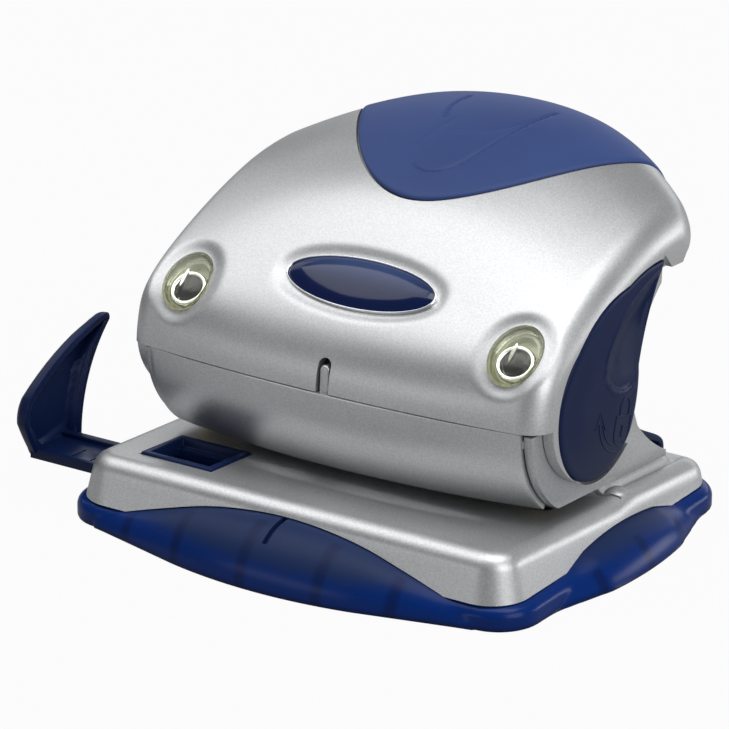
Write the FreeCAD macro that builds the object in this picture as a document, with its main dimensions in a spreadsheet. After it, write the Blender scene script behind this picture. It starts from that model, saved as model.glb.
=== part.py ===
# Two-hole desk punch with a hinged silver handle, a blue grip pad, a side lock lever,
# a sliding paper guide and a translucent chip tray that swings open underneath.
# Millimetres, Z up. The origin is on the table, at the plan centre of the chip tray.
# The deck slopes down to the rear, and the whole punching head leans back with it, so the
# head's pieces are drawn in a head frame: x to the right, v to the rear, w up from the pivot.
import FreeCAD, Part
import Sketcher
import math
import os
from FreeCAD import Placement, Rotation, Vector

os.makedirs("parts", exist_ok=True)
doc = FreeCAD.newDocument("desk_punch")

# Driving dimensions
SIZES = [
    ("deck_tilt", 4.0),
    ("deck_centre_height", 12.0),
    ("pivot_above_deck", 22.4),
    ("pivot_forward", 2.6),
    ("sheet_wall", 1.2),
    ("base_half_width", 53.6),
    ("base_half_depth", 42.6),
    ("base_corner", 7.0),
    ("base_bottom", 5.1),
    ("base_block_height", 20.0),
    ("base_draft", 14.0),
    ("deck_edge_round", 2.6),
    ("plateau_half_width", 50.2),
    ("plateau_length", 31.0),
    ("plateau_corner", 4.0),
    ("plateau_edge_round", 1.4),
    ("throat", 2.5),
    ("hole_spacing", 80.0),
    ("hole_margin", 12.0),
    ("pin_forward", 4.4),
    ("pin_radius", 3.0),
    ("pin_head_radius", 4.1),
    ("pin_head_height", 1.6),
    ("pin_tip_gap", 0.3),
    ("pin_tip_hollow", 6.0),
    ("running_fit", 0.06),
    ("press_travel", 5.85),
    ("frame_sheet", 1.8),
    ("frame_half_width", 47.4),
    ("frame_front_radius", 22.3),
    ("frame_top_radius", 17.0),
    ("frame_web", 2.0),
    ("tail_reach", 33.7),
    ("tail_height", 1.3),
    ("tail_start_v", 20.8),
    ("tail_start_w", 10.1),
    ("tail_hollow_radius", 40.0),
    ("cover_half_width", 45.4),
    ("cover_centre_radius", 27.0),
    ("cover_end_radius", 23.5),
    ("cover_wall", 1.8),
    ("cover_tongue_radius", 20.5),
    ("cover_tongue_rise", 8.2),
    ("seam_drop", 1.7),
    ("small_gap", 0.3),
    ("mark_width", 2.2),
    ("mark_height", 4.4),
    ("rear_cover_wall", 1.6),
    ("carriage_half_width", 44.2),
    ("carriage_front", 10.2),
    ("carriage_rear", 21.0),
    ("carriage_sheet", 3.0),
    ("carriage_bottom", 3.0),
    ("carriage_flange", 4.0),
    ("flange_sheet", 1.5),
    ("post_spread", 44.0),
    ("post_v", 9.0),
    ("post_radius", 3.0),
    ("post_head_radius", 4.4),
    ("post_head_height", 1.4),
    ("bush_wall", 2.0),
    ("bush_height", 4.9),
    ("bush_flange_radius", 5.4),
    ("bush_flange_height", 0.8),
    ("washer_radius", 4.15),
    ("washer_height", 0.8),
    ("spring_wire", 0.8),
    ("spring_mean_radius", 3.65),
    ("spring_turns", 6.5),
    ("press_bar_radius", 3.0),
    ("press_bar_v", 17.5),
    ("press_bar_half_length", 34.0),
    ("lug_spread", 60.0),
    ("lug_width", 3.2),
    ("lug_depth", 8.0),
    ("stud_radius", 4.0),
    ("handle_half_width", 50.0),
    ("handle_front_reach", 26.5),
    ("handle_rear_reach", 55.7),
    ("handle_side_front_reach", 23.4),
    ("handle_side_rear_reach", 38.3),
    ("handle_crown_height", 47.1),
    ("handle_side_height", 33.9),
    ("handle_wall", 2.4),
    ("handle_side_wall", 2.3),
    ("shoulder_round", 4.0),
    ("lobe_radius", 18.7),
    ("lever_disc_radius", 16.0),
    ("lever_thickness", 1.6),
    ("lever_gap", 0.4),
    ("lever_recess", 1.4),
    ("lever_tip_v", 23.4),
    ("lever_tip_w", 25.4),
    ("thumb_hollow_radius", 30.0),
    ("thumb_hollow_depth", 0.5),
    ("cap_radius", 8.0),
    ("cap_height", 1.2),
    ("pad_proud", 0.5),
    ("pad_thickness", 1.6),
    ("pad_apex_v", 3.5),
    ("pad_half_width", 38.0),
    ("pad_length", 42.0),
    ("pad_gap", 0.3),
    ("plate_half_length", 18.2),
    ("plate_half_height", 6.3),
    ("plate_rim", 0.9),
    ("plate_depth", 1.0),
    ("plate_dome", 0.9),
    ("plate_rise", 19.2),
    ("lens_spread", 80.0),
    ("lens_half_width", 5.6),
    ("lens_half_height", 6.5),
    ("lens_rise", 13.3),
    ("lens_dome", 1.6),
    ("lens_flange", 1.2),
    ("lens_dish", 1.7),
    ("lens_dish_depth", 0.8),
    ("cup_radius", 4.0),
    ("cup_depth", 2.6),
    ("cup_wall", 0.5),
    ("die_margin", 6.6),
    ("die_depth", 12.0),
    ("die_thickness", 2.5),
    ("rivet_radius", 1.8),
    ("rivet_head_radius", 3.0),
    ("rivet_head_height", 1.0),
    ("rivet_spread", 70.0),
    ("rivet_front_v", 14.0),
    ("rivet_rear_v", 25.0),
    ("tray_half_width", 56.0),
    ("tray_half_depth", 43.4),
    ("tray_corner", 9.5),
    ("tray_band_height", 4.8),
    ("tray_band_round", 2.4),
    ("tray_floor", 1.6),
    ("tray_wall", 1.6),
    ("tray_rim_width", 3.8),
    ("front_bulge_radius", 12.1),
    ("front_bulge_arc", 22.0),
    ("front_bulge_arc_radius", 9.7),
    ("front_bulge_half_length", 46.0),
    ("front_bulge_end_radius", 3.5),
    ("front_bulge_axis_y", 40.4),
    ("side_bulge_radius", 9.5),
    ("side_bulge_arc", 14.0),
    ("side_bulge_arc_radius", 8.5),
    ("side_bulge_half_length", 29.5),
    ("side_bulge_end_radius", 4.2),
    ("side_bulge_axis_x", 52.0),
    ("side_bulge_axis_drop", 1.5),
    ("side_bulge_centre", 2.0),
    ("tray_rib", 1.2),
    ("tray_rib_spacing", 18.0),
    ("tray_mark_width", 1.3),
    ("tray_mark_depth", 1.0),
    ("hinge_radius", 1.5),
    ("hinge_pin_radius", 0.7),
    ("hinge_out", 0.9),
    ("knuckle_length", 5.0),
    ("hinge_spread", 60.0),
    ("foot_radius", 4.0),
    ("foot_height", 3.2),
    ("foot_inset", 9.6),
    ("foot_front_y", 16.0),
    ("foot_rear_y", 33.0),
    ("foot_hole_gap", 1.0),
    ("arm_front", 35.2),
    ("arm_width", 13.0),
    ("arm_drop", 3.4),
    ("arm_thickness", 3.0),
    ("arm_rim", 1.2),
    ("arm_channel", 1.6),
    ("arm_left_end", 68.0),
    ("arm_length", 96.0),
    ("fin_thickness", 4.0),
    ("fin_height", 26.0),
    ("fin_wall", 1.2),
    ("window_left", 42.0),
    ("window_width", 18.0),
    ("window_front", 33.2),
    ("window_depth", 14.6),
    ("window_rim", 1.5),
    ("window_proud", 0.5),
    ("guide_rail_width", 2.0),
    ("guide_rail_length", 84.0),
    ("click_spring_length", 20.0),
    ("click_spring_left", 23.0),
    ("click_spring_width", 4.0),
    ("click_spring_sheet", 0.4),
    ("overrun", 30.0),
]
sheet = doc.addObject("Spreadsheet::Sheet", "sizes")
for row, (alias, amount) in enumerate(SIZES, start=1):
    sheet.set("A%d" % row, alias)
    sheet.set("B%d" % row, str(amount))
    sheet.setAlias("B%d" % row, alias)
doc.recompute()

# Shares of the handle's reach and height that its two side views follow, from front lip to rear edge
CENTRE_ALONG_SHARES = (0.0, 0.007, 0.050, 0.153, 0.276, 0.366, 0.478, 0.687, 0.843, 0.949, 1.0)
CENTRE_RISE_SHARES = (-0.029, 0.079, 0.229, 0.411, 0.601, 0.718, 0.817, 0.949, 1.0, 0.977, 0.892)
SIDE_ALONG_SHARES = (0.0, 0.006, 0.029, 0.082, 0.200, 0.320, 0.460, 0.640, 0.810, 0.930, 1.0)
SIDE_RISE_SHARES = (-0.033, 0.115, 0.266, 0.385, 0.536, 0.655, 0.775, 0.900, 0.985, 1.0, 0.907)
CROWN_POWER = 2.1
DOME_STATION_SHARES = (-1.0, -0.8, -0.45, 0.0, 0.45, 0.8, 1.0)

finished = []


def number(expression):
    """The value of an expression in the sheet's own words."""
    return float(sheet.evalExpression(expression))


def sized(expression):
    """The same expression as another object writes it, with the sheet's name before each alias."""
    words = sorted((alias for alias, _ in SIZES), key=len, reverse=True)
    out = ""
    place = 0
    while place < len(expression):
        for word in words:
            if expression.startswith(word, place):
                out += "sizes." + word
                place += len(word)
                break
        else:
            out += expression[place]
            place += 1
    return out


def head_placement():
    """The head frame: on the pivot axis, leaning back by the deck's tilt."""
    turn = Rotation(Vector(1, 0, 0), -number("deck_tilt"))
    centre = Vector(0, 0, number("deck_centre_height"))
    reach = Vector(0, -number("pivot_forward"), number("pivot_above_deck"))
    return Placement(centre + turn.multVec(reach), turn)


HEAD = head_placement()


def keep(node, thing, place=None):
    """Name a finished piece, put it in its place and list it for export."""
    thing.Label = node
    if place is not None:
        thing.Placement = place
    finished.append(thing)
    return thing


# Drawing helpers
def plane_of(body, role):
    return [(feature, "") for feature in body.Origin.OriginFeatures if feature.Role == role]


def new_body(name):
    return doc.addObject("PartDesign::Body", name)


def outline(body, name, role, corners, bends=None):
    """A closed sketch through corners given as expressions. bends gives an edge a radius and a side."""
    bends = bends or {}
    sketch = body.newObject("Sketcher::SketchObject", name)
    sketch.AttachmentSupport = plane_of(body, role)
    sketch.MapMode = "FlatFace"
    count = len(corners)
    points = [Vector(number(a), number(b), 0) for a, b in corners]
    ends = []
    for i, start in enumerate(points):
        stop = points[(i + 1) % count]
        if i not in bends:
            sketch.addGeometry(Part.LineSegment(start, stop), False)
            ends.append((1, 2))
            continue
        radius, side = number(bends[i][0]), bends[i][1]
        chord = stop - start
        across = Vector(-chord.y, chord.x, 0).normalize() * side
        half = chord.Length / 2
        centre = start + chord * 0.5 - across * math.sqrt(radius * radius - half * half)
        first, last = (start, stop) if side < 0 else (stop, start)
        angles = [math.atan2(p.y - centre.y, p.x - centre.x) for p in (first, last)]
        if angles[1] < angles[0]:
            angles[1] += 2 * math.pi
        circle = Part.Circle(centre, Vector(0, 0, 1), radius)
        sketch.addGeometry(Part.ArcOfCircle(circle, angles[0], angles[1]), False)
        ends.append((1, 2) if side < 0 else (2, 1))
    for i in range(count):
        after = (i + 1) % count
        sketch.addConstraint(Sketcher.Constraint("Coincident", i, ends[i][1], after, ends[after][0]))
    for i, corner in enumerate(corners):
        for axis, expression in zip("XY", corner):
            rule = Sketcher.Constraint("Distance" + axis, -1, 1, i, ends[i][0], number(expression))
            index = sketch.addConstraint(rule)
            label = "corner%d%s" % (i, axis)
            sketch.renameConstraint(index, label)
            sketch.setExpression("Constraints." + label, sized(expression))
    for i, (radius, _) in bends.items():
        index = sketch.addConstraint(Sketcher.Constraint("Radius", i, number(radius)))
        label = "bend%d" % i
        sketch.renameConstraint(index, label)
        sketch.setExpression("Constraints." + label, sized(radius))
    return sketch


def pad(body, sketch, length, middle=True, backwards=False, taper=None):
    feature = body.newObject("PartDesign::Pad", sketch.Name + "_pad")
    feature.Profile = sketch
    feature.Midplane = middle
    feature.Reversed = backwards
    feature.setExpression("Length", sized(length))
    if taper:
        feature.setExpression("TaperAngle", sized(taper))
    doc.recompute()
    return feature


def pocket(body, sketch, length, middle=True, backwards=False):
    before = body.Shape.Volume
    feature = body.newObject("PartDesign::Pocket", sketch.Name + "_pocket")
    feature.Profile = sketch
    feature.Midplane = middle
    feature.Reversed = backwards
    feature.setExpression("Length", sized(length))
    doc.recompute()
    if not body.Shape.Volume < before:
        raise ValueError("pocket %s cuts nothing" % sketch.Name)
    return feature


def revolution(body, sketch, axis_role):
    feature = body.newObject("PartDesign::Revolution", sketch.Name + "_turned")
    feature.Profile = sketch
    feature.ReferenceAxis = plane_of(body, axis_role)[0]
    feature.Angle = 360
    doc.recompute()
    return feature


def box(name, low, high):
    """A box between two corners given as expressions."""
    thing = doc.addObject("Part::Box", name)
    for prop, axis, a, b in zip(("Length", "Width", "Height"), "xyz", low, high):
        thing.setExpression(prop, sized("(%s) - (%s)" % (b, a)))
        thing.setExpression("Placement.Base." + axis, sized(a))
    return thing


def rod(name, radius, length, start, axis=Vector(0, 0, 1)):
    """A cylinder from a start point, given as expressions, along an axis."""
    thing = doc.addObject("Part::Cylinder", name)
    thing.setExpression("Radius", sized(radius))
    thing.setExpression("Height", sized(length))
    thing.Placement = Placement(Vector(), Rotation(Vector(0, 0, 1), axis))
    for letter, expression in zip("xyz", start):
        thing.setExpression("Placement.Base." + letter, sized(expression))
    return thing


def join(name, pieces):
    if len(pieces) == 1:
        return pieces[0]
    thing = doc.addObject("Part::MultiFuse", name)
    thing.Shapes = pieces
    return thing


def cut(name, base, tools):
    thing = doc.addObject("Part::Cut", name)
    thing.Base = base
    thing.Tool = join(name + "_tools", tools)
    return thing


def common(name, first, second):
    thing = doc.addObject("Part::Common", name)
    thing.Base = first
    thing.Tool = second
    return thing


def rounded(name, base, radius, chooses):
    """Round the edges of base that a test chooses."""
    doc.recompute()
    amount = number(radius)
    picked = [i + 1 for i, edge in enumerate(base.Shape.Edges) if chooses(edge)]
    thing = doc.addObject("Part::Fillet", name)
    thing.Base = base
    thing.Edges = [(i, amount, amount) for i in picked]
    return thing


def solid(name, shape):
    thing = doc.addObject("Part::Feature", name)
    thing.Shape = shape
    return thing


def copies(name, pieces):
    """Several separate solids kept as one node."""
    thing = doc.addObject("Part::Compound", name)
    thing.Links = pieces
    return thing


X_AXIS = Vector(1, 0, 0)
V_AXIS = Vector(0, 1, 0)
SIDES = (("left", -1), ("right", 1))

# Levels in the head frame, written once
THROAT_TOP = "-pivot_above_deck + throat"
WEB_TOP = THROAT_TOP + " + frame_web"
DECK_TOP = "-pivot_above_deck"


def rounded_rectangle(body, name, half_width, half_depth, corner, role="XY_Plane"):
    """A rectangle with round corners, as eight corners and four bends."""
    w, d, r = "(%s)" % half_width, "(%s)" % half_depth, "(%s)" % corner
    corners = [
        ("-(%s) + %s" % (w, r), "-(%s)" % d), ("%s - %s" % (w, r), "-(%s)" % d),
        (w, "-(%s) + %s" % (d, r)), (w, "%s - %s" % (d, r)),
        ("%s - %s" % (w, r), d), ("-(%s) + %s" % (w, r), d),
        ("-(%s)" % w, "%s - %s" % (d, r)), ("-(%s)" % w, "-(%s) + %s" % (d, r)),
    ]
    bends = {1: (r, -1), 3: (r, -1), 5: (r, -1), 7: (r, -1)}
    return outline(body, name, role, corners, bends)


# Bulges of the chip tray, turned about level axes. grow makes them larger or smaller all round.
def front_bulge(name, grow):
    body = new_body(name)
    rise = "front_bulge_radius - front_bulge_arc_radius"
    corners = [
        ("-front_bulge_half_length - (%s)" % grow, "0"),
        ("front_bulge_half_length + (%s)" % grow, "0"),
        ("front_bulge_half_length + (%s)" % grow, "front_bulge_end_radius + (%s)" % grow),
        ("front_bulge_arc", "front_bulge_arc_radius + (%s)" % grow),
        ("-front_bulge_arc", "front_bulge_arc_radius + (%s)" % grow),
        ("-front_bulge_half_length - (%s)" % grow, "front_bulge_end_radius + (%s)" % grow),
    ]
    radius = "(front_bulge_arc ^ 2 + (%s) ^ 2) / (2 * (%s))" % (rise, rise)
    sketch = outline(body, name + "_outline", "XZ_Plane", corners, {3: (radius, -1)})
    revolution(body, sketch, "X_Axis")
    body.setExpression("Placement.Base.y", sized("-front_bulge_axis_y"))
    return body


def side_bulge(name, grow, side):
    body = new_body(name)
    rise = "side_bulge_radius - side_bulge_arc_radius"
    corners = [
        ("-side_bulge_half_length - (%s)" % grow, "0"),
        ("side_bulge_half_length + (%s)" % grow, "0"),
        ("side_bulge_half_length + (%s)" % grow, "side_bulge_end_radius + (%s)" % grow),
        ("side_bulge_arc", "side_bulge_arc_radius + (%s)" % grow),
        ("-side_bulge_arc", "side_bulge_arc_radius + (%s)" % grow),
        ("-side_bulge_half_length - (%s)" % grow, "side_bulge_end_radius + (%s)" % grow),
    ]
    radius = "(side_bulge_arc ^ 2 + (%s) ^ 2) / (2 * (%s))" % (rise, rise)
    sketch = outline(body, name + "_outline", "YZ_Plane", corners, {3: (radius, -1)})
    revolution(body, sketch, "Y_Axis")
    body.setExpression("Placement.Base.x", sized("side_bulge_axis_x * %d" % side))
    body.setExpression("Placement.Base.y", sized("side_bulge_centre"))
    body.setExpression("Placement.Base.z", sized("-side_bulge_axis_drop"))
    return body


DECK = Placement(Vector(0, 0, number("deck_centre_height")), Rotation(X_AXIS, -number("deck_tilt")))
WIDE = "base_half_width + overrun"


def tilted(thing, place):
    """Move a finished helper piece into the deck's or the head's frame."""
    holder = doc.addObject("Part::Compound", thing.Name + "_tilted")
    holder.Links = [thing]
    holder.Placement = place
    return holder


def base_form(name, inset, step_root):
    """The outside of the base, or the same form made smaller all round by inset.
    The raised rear step starts step_root below the deck."""
    body = new_body(name + "_block")
    sketch = rounded_rectangle(
        body, name + "_plan", "base_half_width - (%s)" % inset,
        "base_half_depth - (%s)" % inset, "base_corner - (%s)" % inset)
    pad(body, sketch, "base_block_height", middle=False, taper="-base_draft")
    body.setExpression("Placement.Base.z", sized("base_bottom"))
    below = tilted(box(name + "_deck", ("-(%s)" % WIDE, "-(%s)" % WIDE, "-overrun"),
                       (WIDE, WIDE, "-(%s)" % inset)), DECK)
    block = common(name + "_cut_block", body, below)
    doc.recompute()

    def on_deck(edge):
        rise = [DECK.inverse().multVec(v.Point).z + number(inset) for v in edge.Vertexes]
        return all(abs(r) < 0.01 for r in rise)

    softened = rounded(name + "_softened", block, "deck_edge_round - (%s) * 0.5" % inset, on_deck)
    stop = "hole_margin - pin_forward - pivot_forward"
    step = new_body(name + "_step")
    plan = rounded_rectangle(
        step, name + "_step_plan", "plateau_half_width - (%s)" % inset,
        "plateau_length / 2 - (%s)" % inset, "plateau_corner - (%s)" % inset)
    pad(step, plan, "throat + %s - (%s)" % (step_root, inset), middle=False)
    doc.recompute()
    height = number("throat + %s - (%s)" % (step_root, inset))
    round_top = rounded(name + "_step_round", step, "plateau_edge_round - (%s) * 0.5" % inset,
                        lambda e: all(abs(v.Z - height) < 0.01 for v in e.Vertexes))
    holder = doc.addObject("Part::Compound", name + "_step_placed")
    holder.Links = [round_top]
    holder.setExpression("Placement.Base.y", sized("%s + plateau_length / 2" % stop))
    holder.setExpression("Placement.Base.z", sized("-(%s)" % step_root))
    return join(name, [softened, tilted(holder, DECK)])


# Pieces of the base
def base_plate():
    outside = base_form("base_outside", "0", "sheet_wall / 2")
    inside = base_form("base_inside", "sheet_wall", "sheet_wall * 2")
    holes = []
    for word, side in SIDES:
        holes.append(rod("die_window_" + word, "pin_radius + running_fit * 3", "deck_centre_height",
                         ("hole_spacing / 2 * %d" % side, "-pin_forward - pivot_forward", "-deck_centre_height / 2")))
        for end in ("front", "rear"):
            holes.append(rod("base_rivet_hole_%s_%s" % (word, end), "rivet_radius + running_fit",
                             "deck_centre_height",
                             ("rivet_spread / 2 * %d" % side, "rivet_%s_v - pivot_forward" % end,
                              "-deck_centre_height / 2")))
    holes.append(box("base_window", ("-window_left - small_gap", "-window_front - small_gap", "-deck_centre_height / 4"),
                     ("-window_left + window_width + small_gap", "-window_front + window_depth + small_gap",
                      "deck_centre_height / 4")))
    holes.append(box("base_arm_mouth",
                     ("-base_half_width * 1.2", "-arm_front - guide_rail_width - small_gap",
                      "-arm_drop - arm_thickness - sheet_wall - small_gap"),
                     ("-base_half_width * 0.9", "-arm_front + arm_width + guide_rail_width + small_gap",
                      "-arm_drop + small_gap * 2")))
    holes = [tilted(join("base_holes", holes), DECK)]
    holes.append(front_bulge("base_front_scallop", "small_gap"))
    for word, side in SIDES:
        holes.append(side_bulge("base_scallop_" + word, "small_gap", side))
        for edge in (-1, 1):
            holes.append(box("base_knuckle_room_%s_%d" % (word, edge + 1),
                             ("hinge_spread / 2 * %d + knuckle_length * %s - small_gap" % (side, "0" if edge > 0 else "-0.5"),
                              "tray_half_depth - hinge_out - hinge_radius - small_gap * 3", "0"),
                             ("hinge_spread / 2 * %d + knuckle_length * %s + small_gap" % (side, "0.5" if edge > 0 else "0"),
                              "tray_half_depth + overrun", "base_bottom + hinge_radius + small_gap")))
    shell = cut("base_shell", outside, [inside] + holes)
    lugs = [shell]
    axis_y = "tray_half_depth - hinge_out"
    for word, side in SIDES:
        start = "hinge_spread / 2 * %d - knuckle_length" % side
        length = "knuckle_length / 2 - small_gap"
        lugs.append(rod("base_lug_" + word, "hinge_radius", length, (start, axis_y, "base_bottom - small_gap"), X_AXIS))
        lugs.append(box("base_lug_root_" + word,
                        (start, axis_y + " - hinge_radius", "base_bottom - small_gap"),
                        ("%s + %s" % (start, length), axis_y + " + hinge_radius * 0.2", "base_bottom + hinge_radius * 1.6")))
    whole = join("base_with_lugs", lugs)
    bores = [rod("base_lug_bore_" + word, "hinge_pin_radius", "knuckle_length / 2",
                 ("hinge_spread / 2 * %d - knuckle_length - small_gap / 2" % side, axis_y, "base_bottom - small_gap"), X_AXIS)
             for word, side in SIDES]
    return keep("base_plate", cut("base_plate_solid", whole, bores))


def feet():
    pillars = []
    feet_list = []
    for word, side in SIDES:
        for end, y in (("front", "-foot_front_y"), ("rear", "foot_rear_y")):
            spot = ("(base_half_width - foot_inset) * %d" % side, y)
            pillars.append(rod("pillar_%s_%s" % (word, end), "foot_radius * 0.6", "base_block_height", spot + ("foot_height",)))
            feet_list.append(rod("foot_%s_%s" % (word, end), "foot_radius", "foot_height", spot + ("0",)))
    under = tilted(box("pillar_room", ("-(%s)" % WIDE, "-(%s)" % WIDE, "-overrun"), (WIDE, WIDE, "-sheet_wall")), DECK)
    tops = [common(p.Name + "_cut", p, under) for p in pillars]
    keep("support_pillars", copies("support_pillars_solid", tops))
    keep("rubber_feet", copies("rubber_feet_solid", feet_list))


def die_plate():
    v = "-pin_forward - pivot_forward"
    plate = box("die_blank", ("-(base_half_width - die_margin)", v + " - die_depth / 2", "-sheet_wall - die_thickness"),
                ("base_half_width - die_margin", v + " + die_depth / 2", "-sheet_wall"))
    bores = [rod("die_bore_" + word, "pin_radius + running_fit", "die_thickness * 3",
                 ("hole_spacing / 2 * %d" % side, v, "-die_thickness * 2.5")) for word, side in SIDES]
    return keep("die_plate", cut("die_plate_solid", plate, bores), DECK)


ARM_REAR = "-arm_front + arm_width"
ARM_BOTTOM = "-arm_drop - arm_thickness"


def guide_housing():
    left = "-guide_rail_length / 2 - sheet_wall * 6"
    right = "guide_rail_length / 2 - sheet_wall * 6"
    front = "-arm_front - small_gap - guide_rail_width"
    rear = ARM_REAR + " + small_gap"
    rails = [
        box("rail_front", (left, front, ARM_BOTTOM + " - small_gap"), (right, "-arm_front - small_gap", "-sheet_wall")),
        box("rail_rear", (left, rear, ARM_BOTTOM + " - small_gap"), (right, rear + " + guide_rail_width", "-sheet_wall")),
        box("rail_floor", (left, front, ARM_BOTTOM + " - small_gap - sheet_wall"),
            (right, rear + " + guide_rail_width", ARM_BOTTOM + " - small_gap")),
        box("bezel", ("-window_left", "-window_front", "-arm_drop + small_gap"),
            ("-window_left + window_width", "-window_front + window_depth", "window_proud")),
    ]
    blank = join("housing_blank", rails)
    hole = box("bezel_hole", ("-window_left + window_rim", "-window_front + window_rim", "-arm_drop - small_gap"),
               ("-window_left + window_width - window_rim", "-arm_front + arm_width + small_gap", "window_proud * 2"))
    ledge = box("bezel_ledge", ("-window_left + window_rim", "-window_front + window_rim", "-sheet_wall * 1.2"),
                ("-window_left + window_width - window_rim", "-window_front + window_depth - window_rim", "window_proud * 2"))
    return keep("guide_housing", cut("guide_housing_solid", blank, [hole, ledge]), DECK)


def click_spring():
    body = new_body("guide_click_spring_body")
    low = "-arm_drop - arm_channel + small_gap"
    top = "-sheet_wall"
    quarter = "click_spring_length / 4"
    left = "-click_spring_left"
    corners = [
        (left, top), (left, top + " - click_spring_sheet"),
        ("%s + %s" % (left, quarter), top + " - click_spring_sheet"),
        ("%s + %s * 1.8" % (left, quarter), low),
        ("%s + %s * 2.2" % (left, quarter), low),
        ("%s + %s * 3" % (left, quarter), top + " - click_spring_sheet"),
        ("%s + click_spring_length" % left, top + " - click_spring_sheet"),
        ("%s + click_spring_length" % left, top),
        ("%s + %s * 3 - click_spring_sheet" % (left, quarter), top),
        ("%s + %s * 2.2 - click_spring_sheet / 2" % (left, quarter), low + " + click_spring_sheet"),
        ("%s + %s * 1.8 + click_spring_sheet / 2" % (left, quarter), low + " + click_spring_sheet"),
        ("%s + %s + click_spring_sheet" % (left, quarter), top),
    ]
    sketch = outline(body, "click_spring_outline", "XZ_Plane", corners)
    pad(body, sketch, "click_spring_width")
    inner = doc.addObject("Part::Compound", "guide_click_spring_centred")
    inner.Links = [body]
    inner.setExpression("Placement.Base.y", sized("-arm_front + arm_width / 2"))
    return keep("guide_click_spring", tilted(inner, DECK))


def paper_guide():
    """The sliding arm, a shallow channel, and the paper stop fin on its outer end."""
    blank = box("arm_blank", ("-arm_left_end", "-arm_front", ARM_BOTTOM),
                ("-arm_left_end + arm_length", ARM_REAR, "-arm_drop"))
    hollow = box("arm_hollow", ("-arm_left_end - small_gap", "-arm_front + arm_rim", "-arm_drop - arm_channel"),
                 ("-arm_left_end + arm_length - arm_rim", ARM_REAR + " - arm_rim", "arm_drop"))
    arm = tilted(cut("arm_channel_solid", blank, [hollow]), DECK)
    low = "deck_centre_height - arm_drop - arm_thickness * 0.45"
    front = "-arm_front + arm_rim * 0.6"

    def fin_outline(name, inset):
        body = new_body(name)
        corners = [
            ("%s + %s" % (front, inset), "%s + %s" % (low, inset)),
            ("%s - fin_height * 0.165 + %s" % (front, inset), "%s + fin_height * 0.35" % low),
            ("%s - fin_height * 0.075 + %s * 0.7" % (front, inset), "%s + fin_height * 0.58 - %s * 0.7" % (low, inset)),
            ("%s + fin_height * 0.965 - %s * 2" % (front, inset), "%s + fin_height - %s * 1.6" % (low, inset)),
            ("%s + fin_height - %s * 2" % (front, inset), "%s + fin_height * 0.93 - %s * 1.2" % (low, inset)),
            ("%s + fin_height * 0.585 - %s" % (front, inset), "%s + %s" % (low, inset)),
        ]
        bends = {
            0: ("fin_height * 2", 1), 1: ("fin_height * 0.32", 1), 2: ("fin_height * 2.4", 1),
            3: ("fin_height * 0.05", 1), 4: ("fin_height * 1.25", -1),
        }
        return body, outline(body, name + "_edge", "YZ_Plane", corners, bends)

    body, edge = fin_outline("fin_blank", "0")
    pad(body, edge, "fin_thickness")
    inner, inner_edge = fin_outline("fin_hollow", "fin_wall")
    pad(inner, inner_edge, "fin_thickness")
    body.setExpression("Placement.Base.x", sized("-arm_left_end - fin_thickness / 2"))
    inner.setExpression("Placement.Base.x", sized("-arm_left_end - fin_thickness / 2 + fin_wall"))
    fin = cut("fin_solid", body, [inner])
    return keep("paper_guide", join("paper_guide_solid", [fin, arm]))


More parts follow.
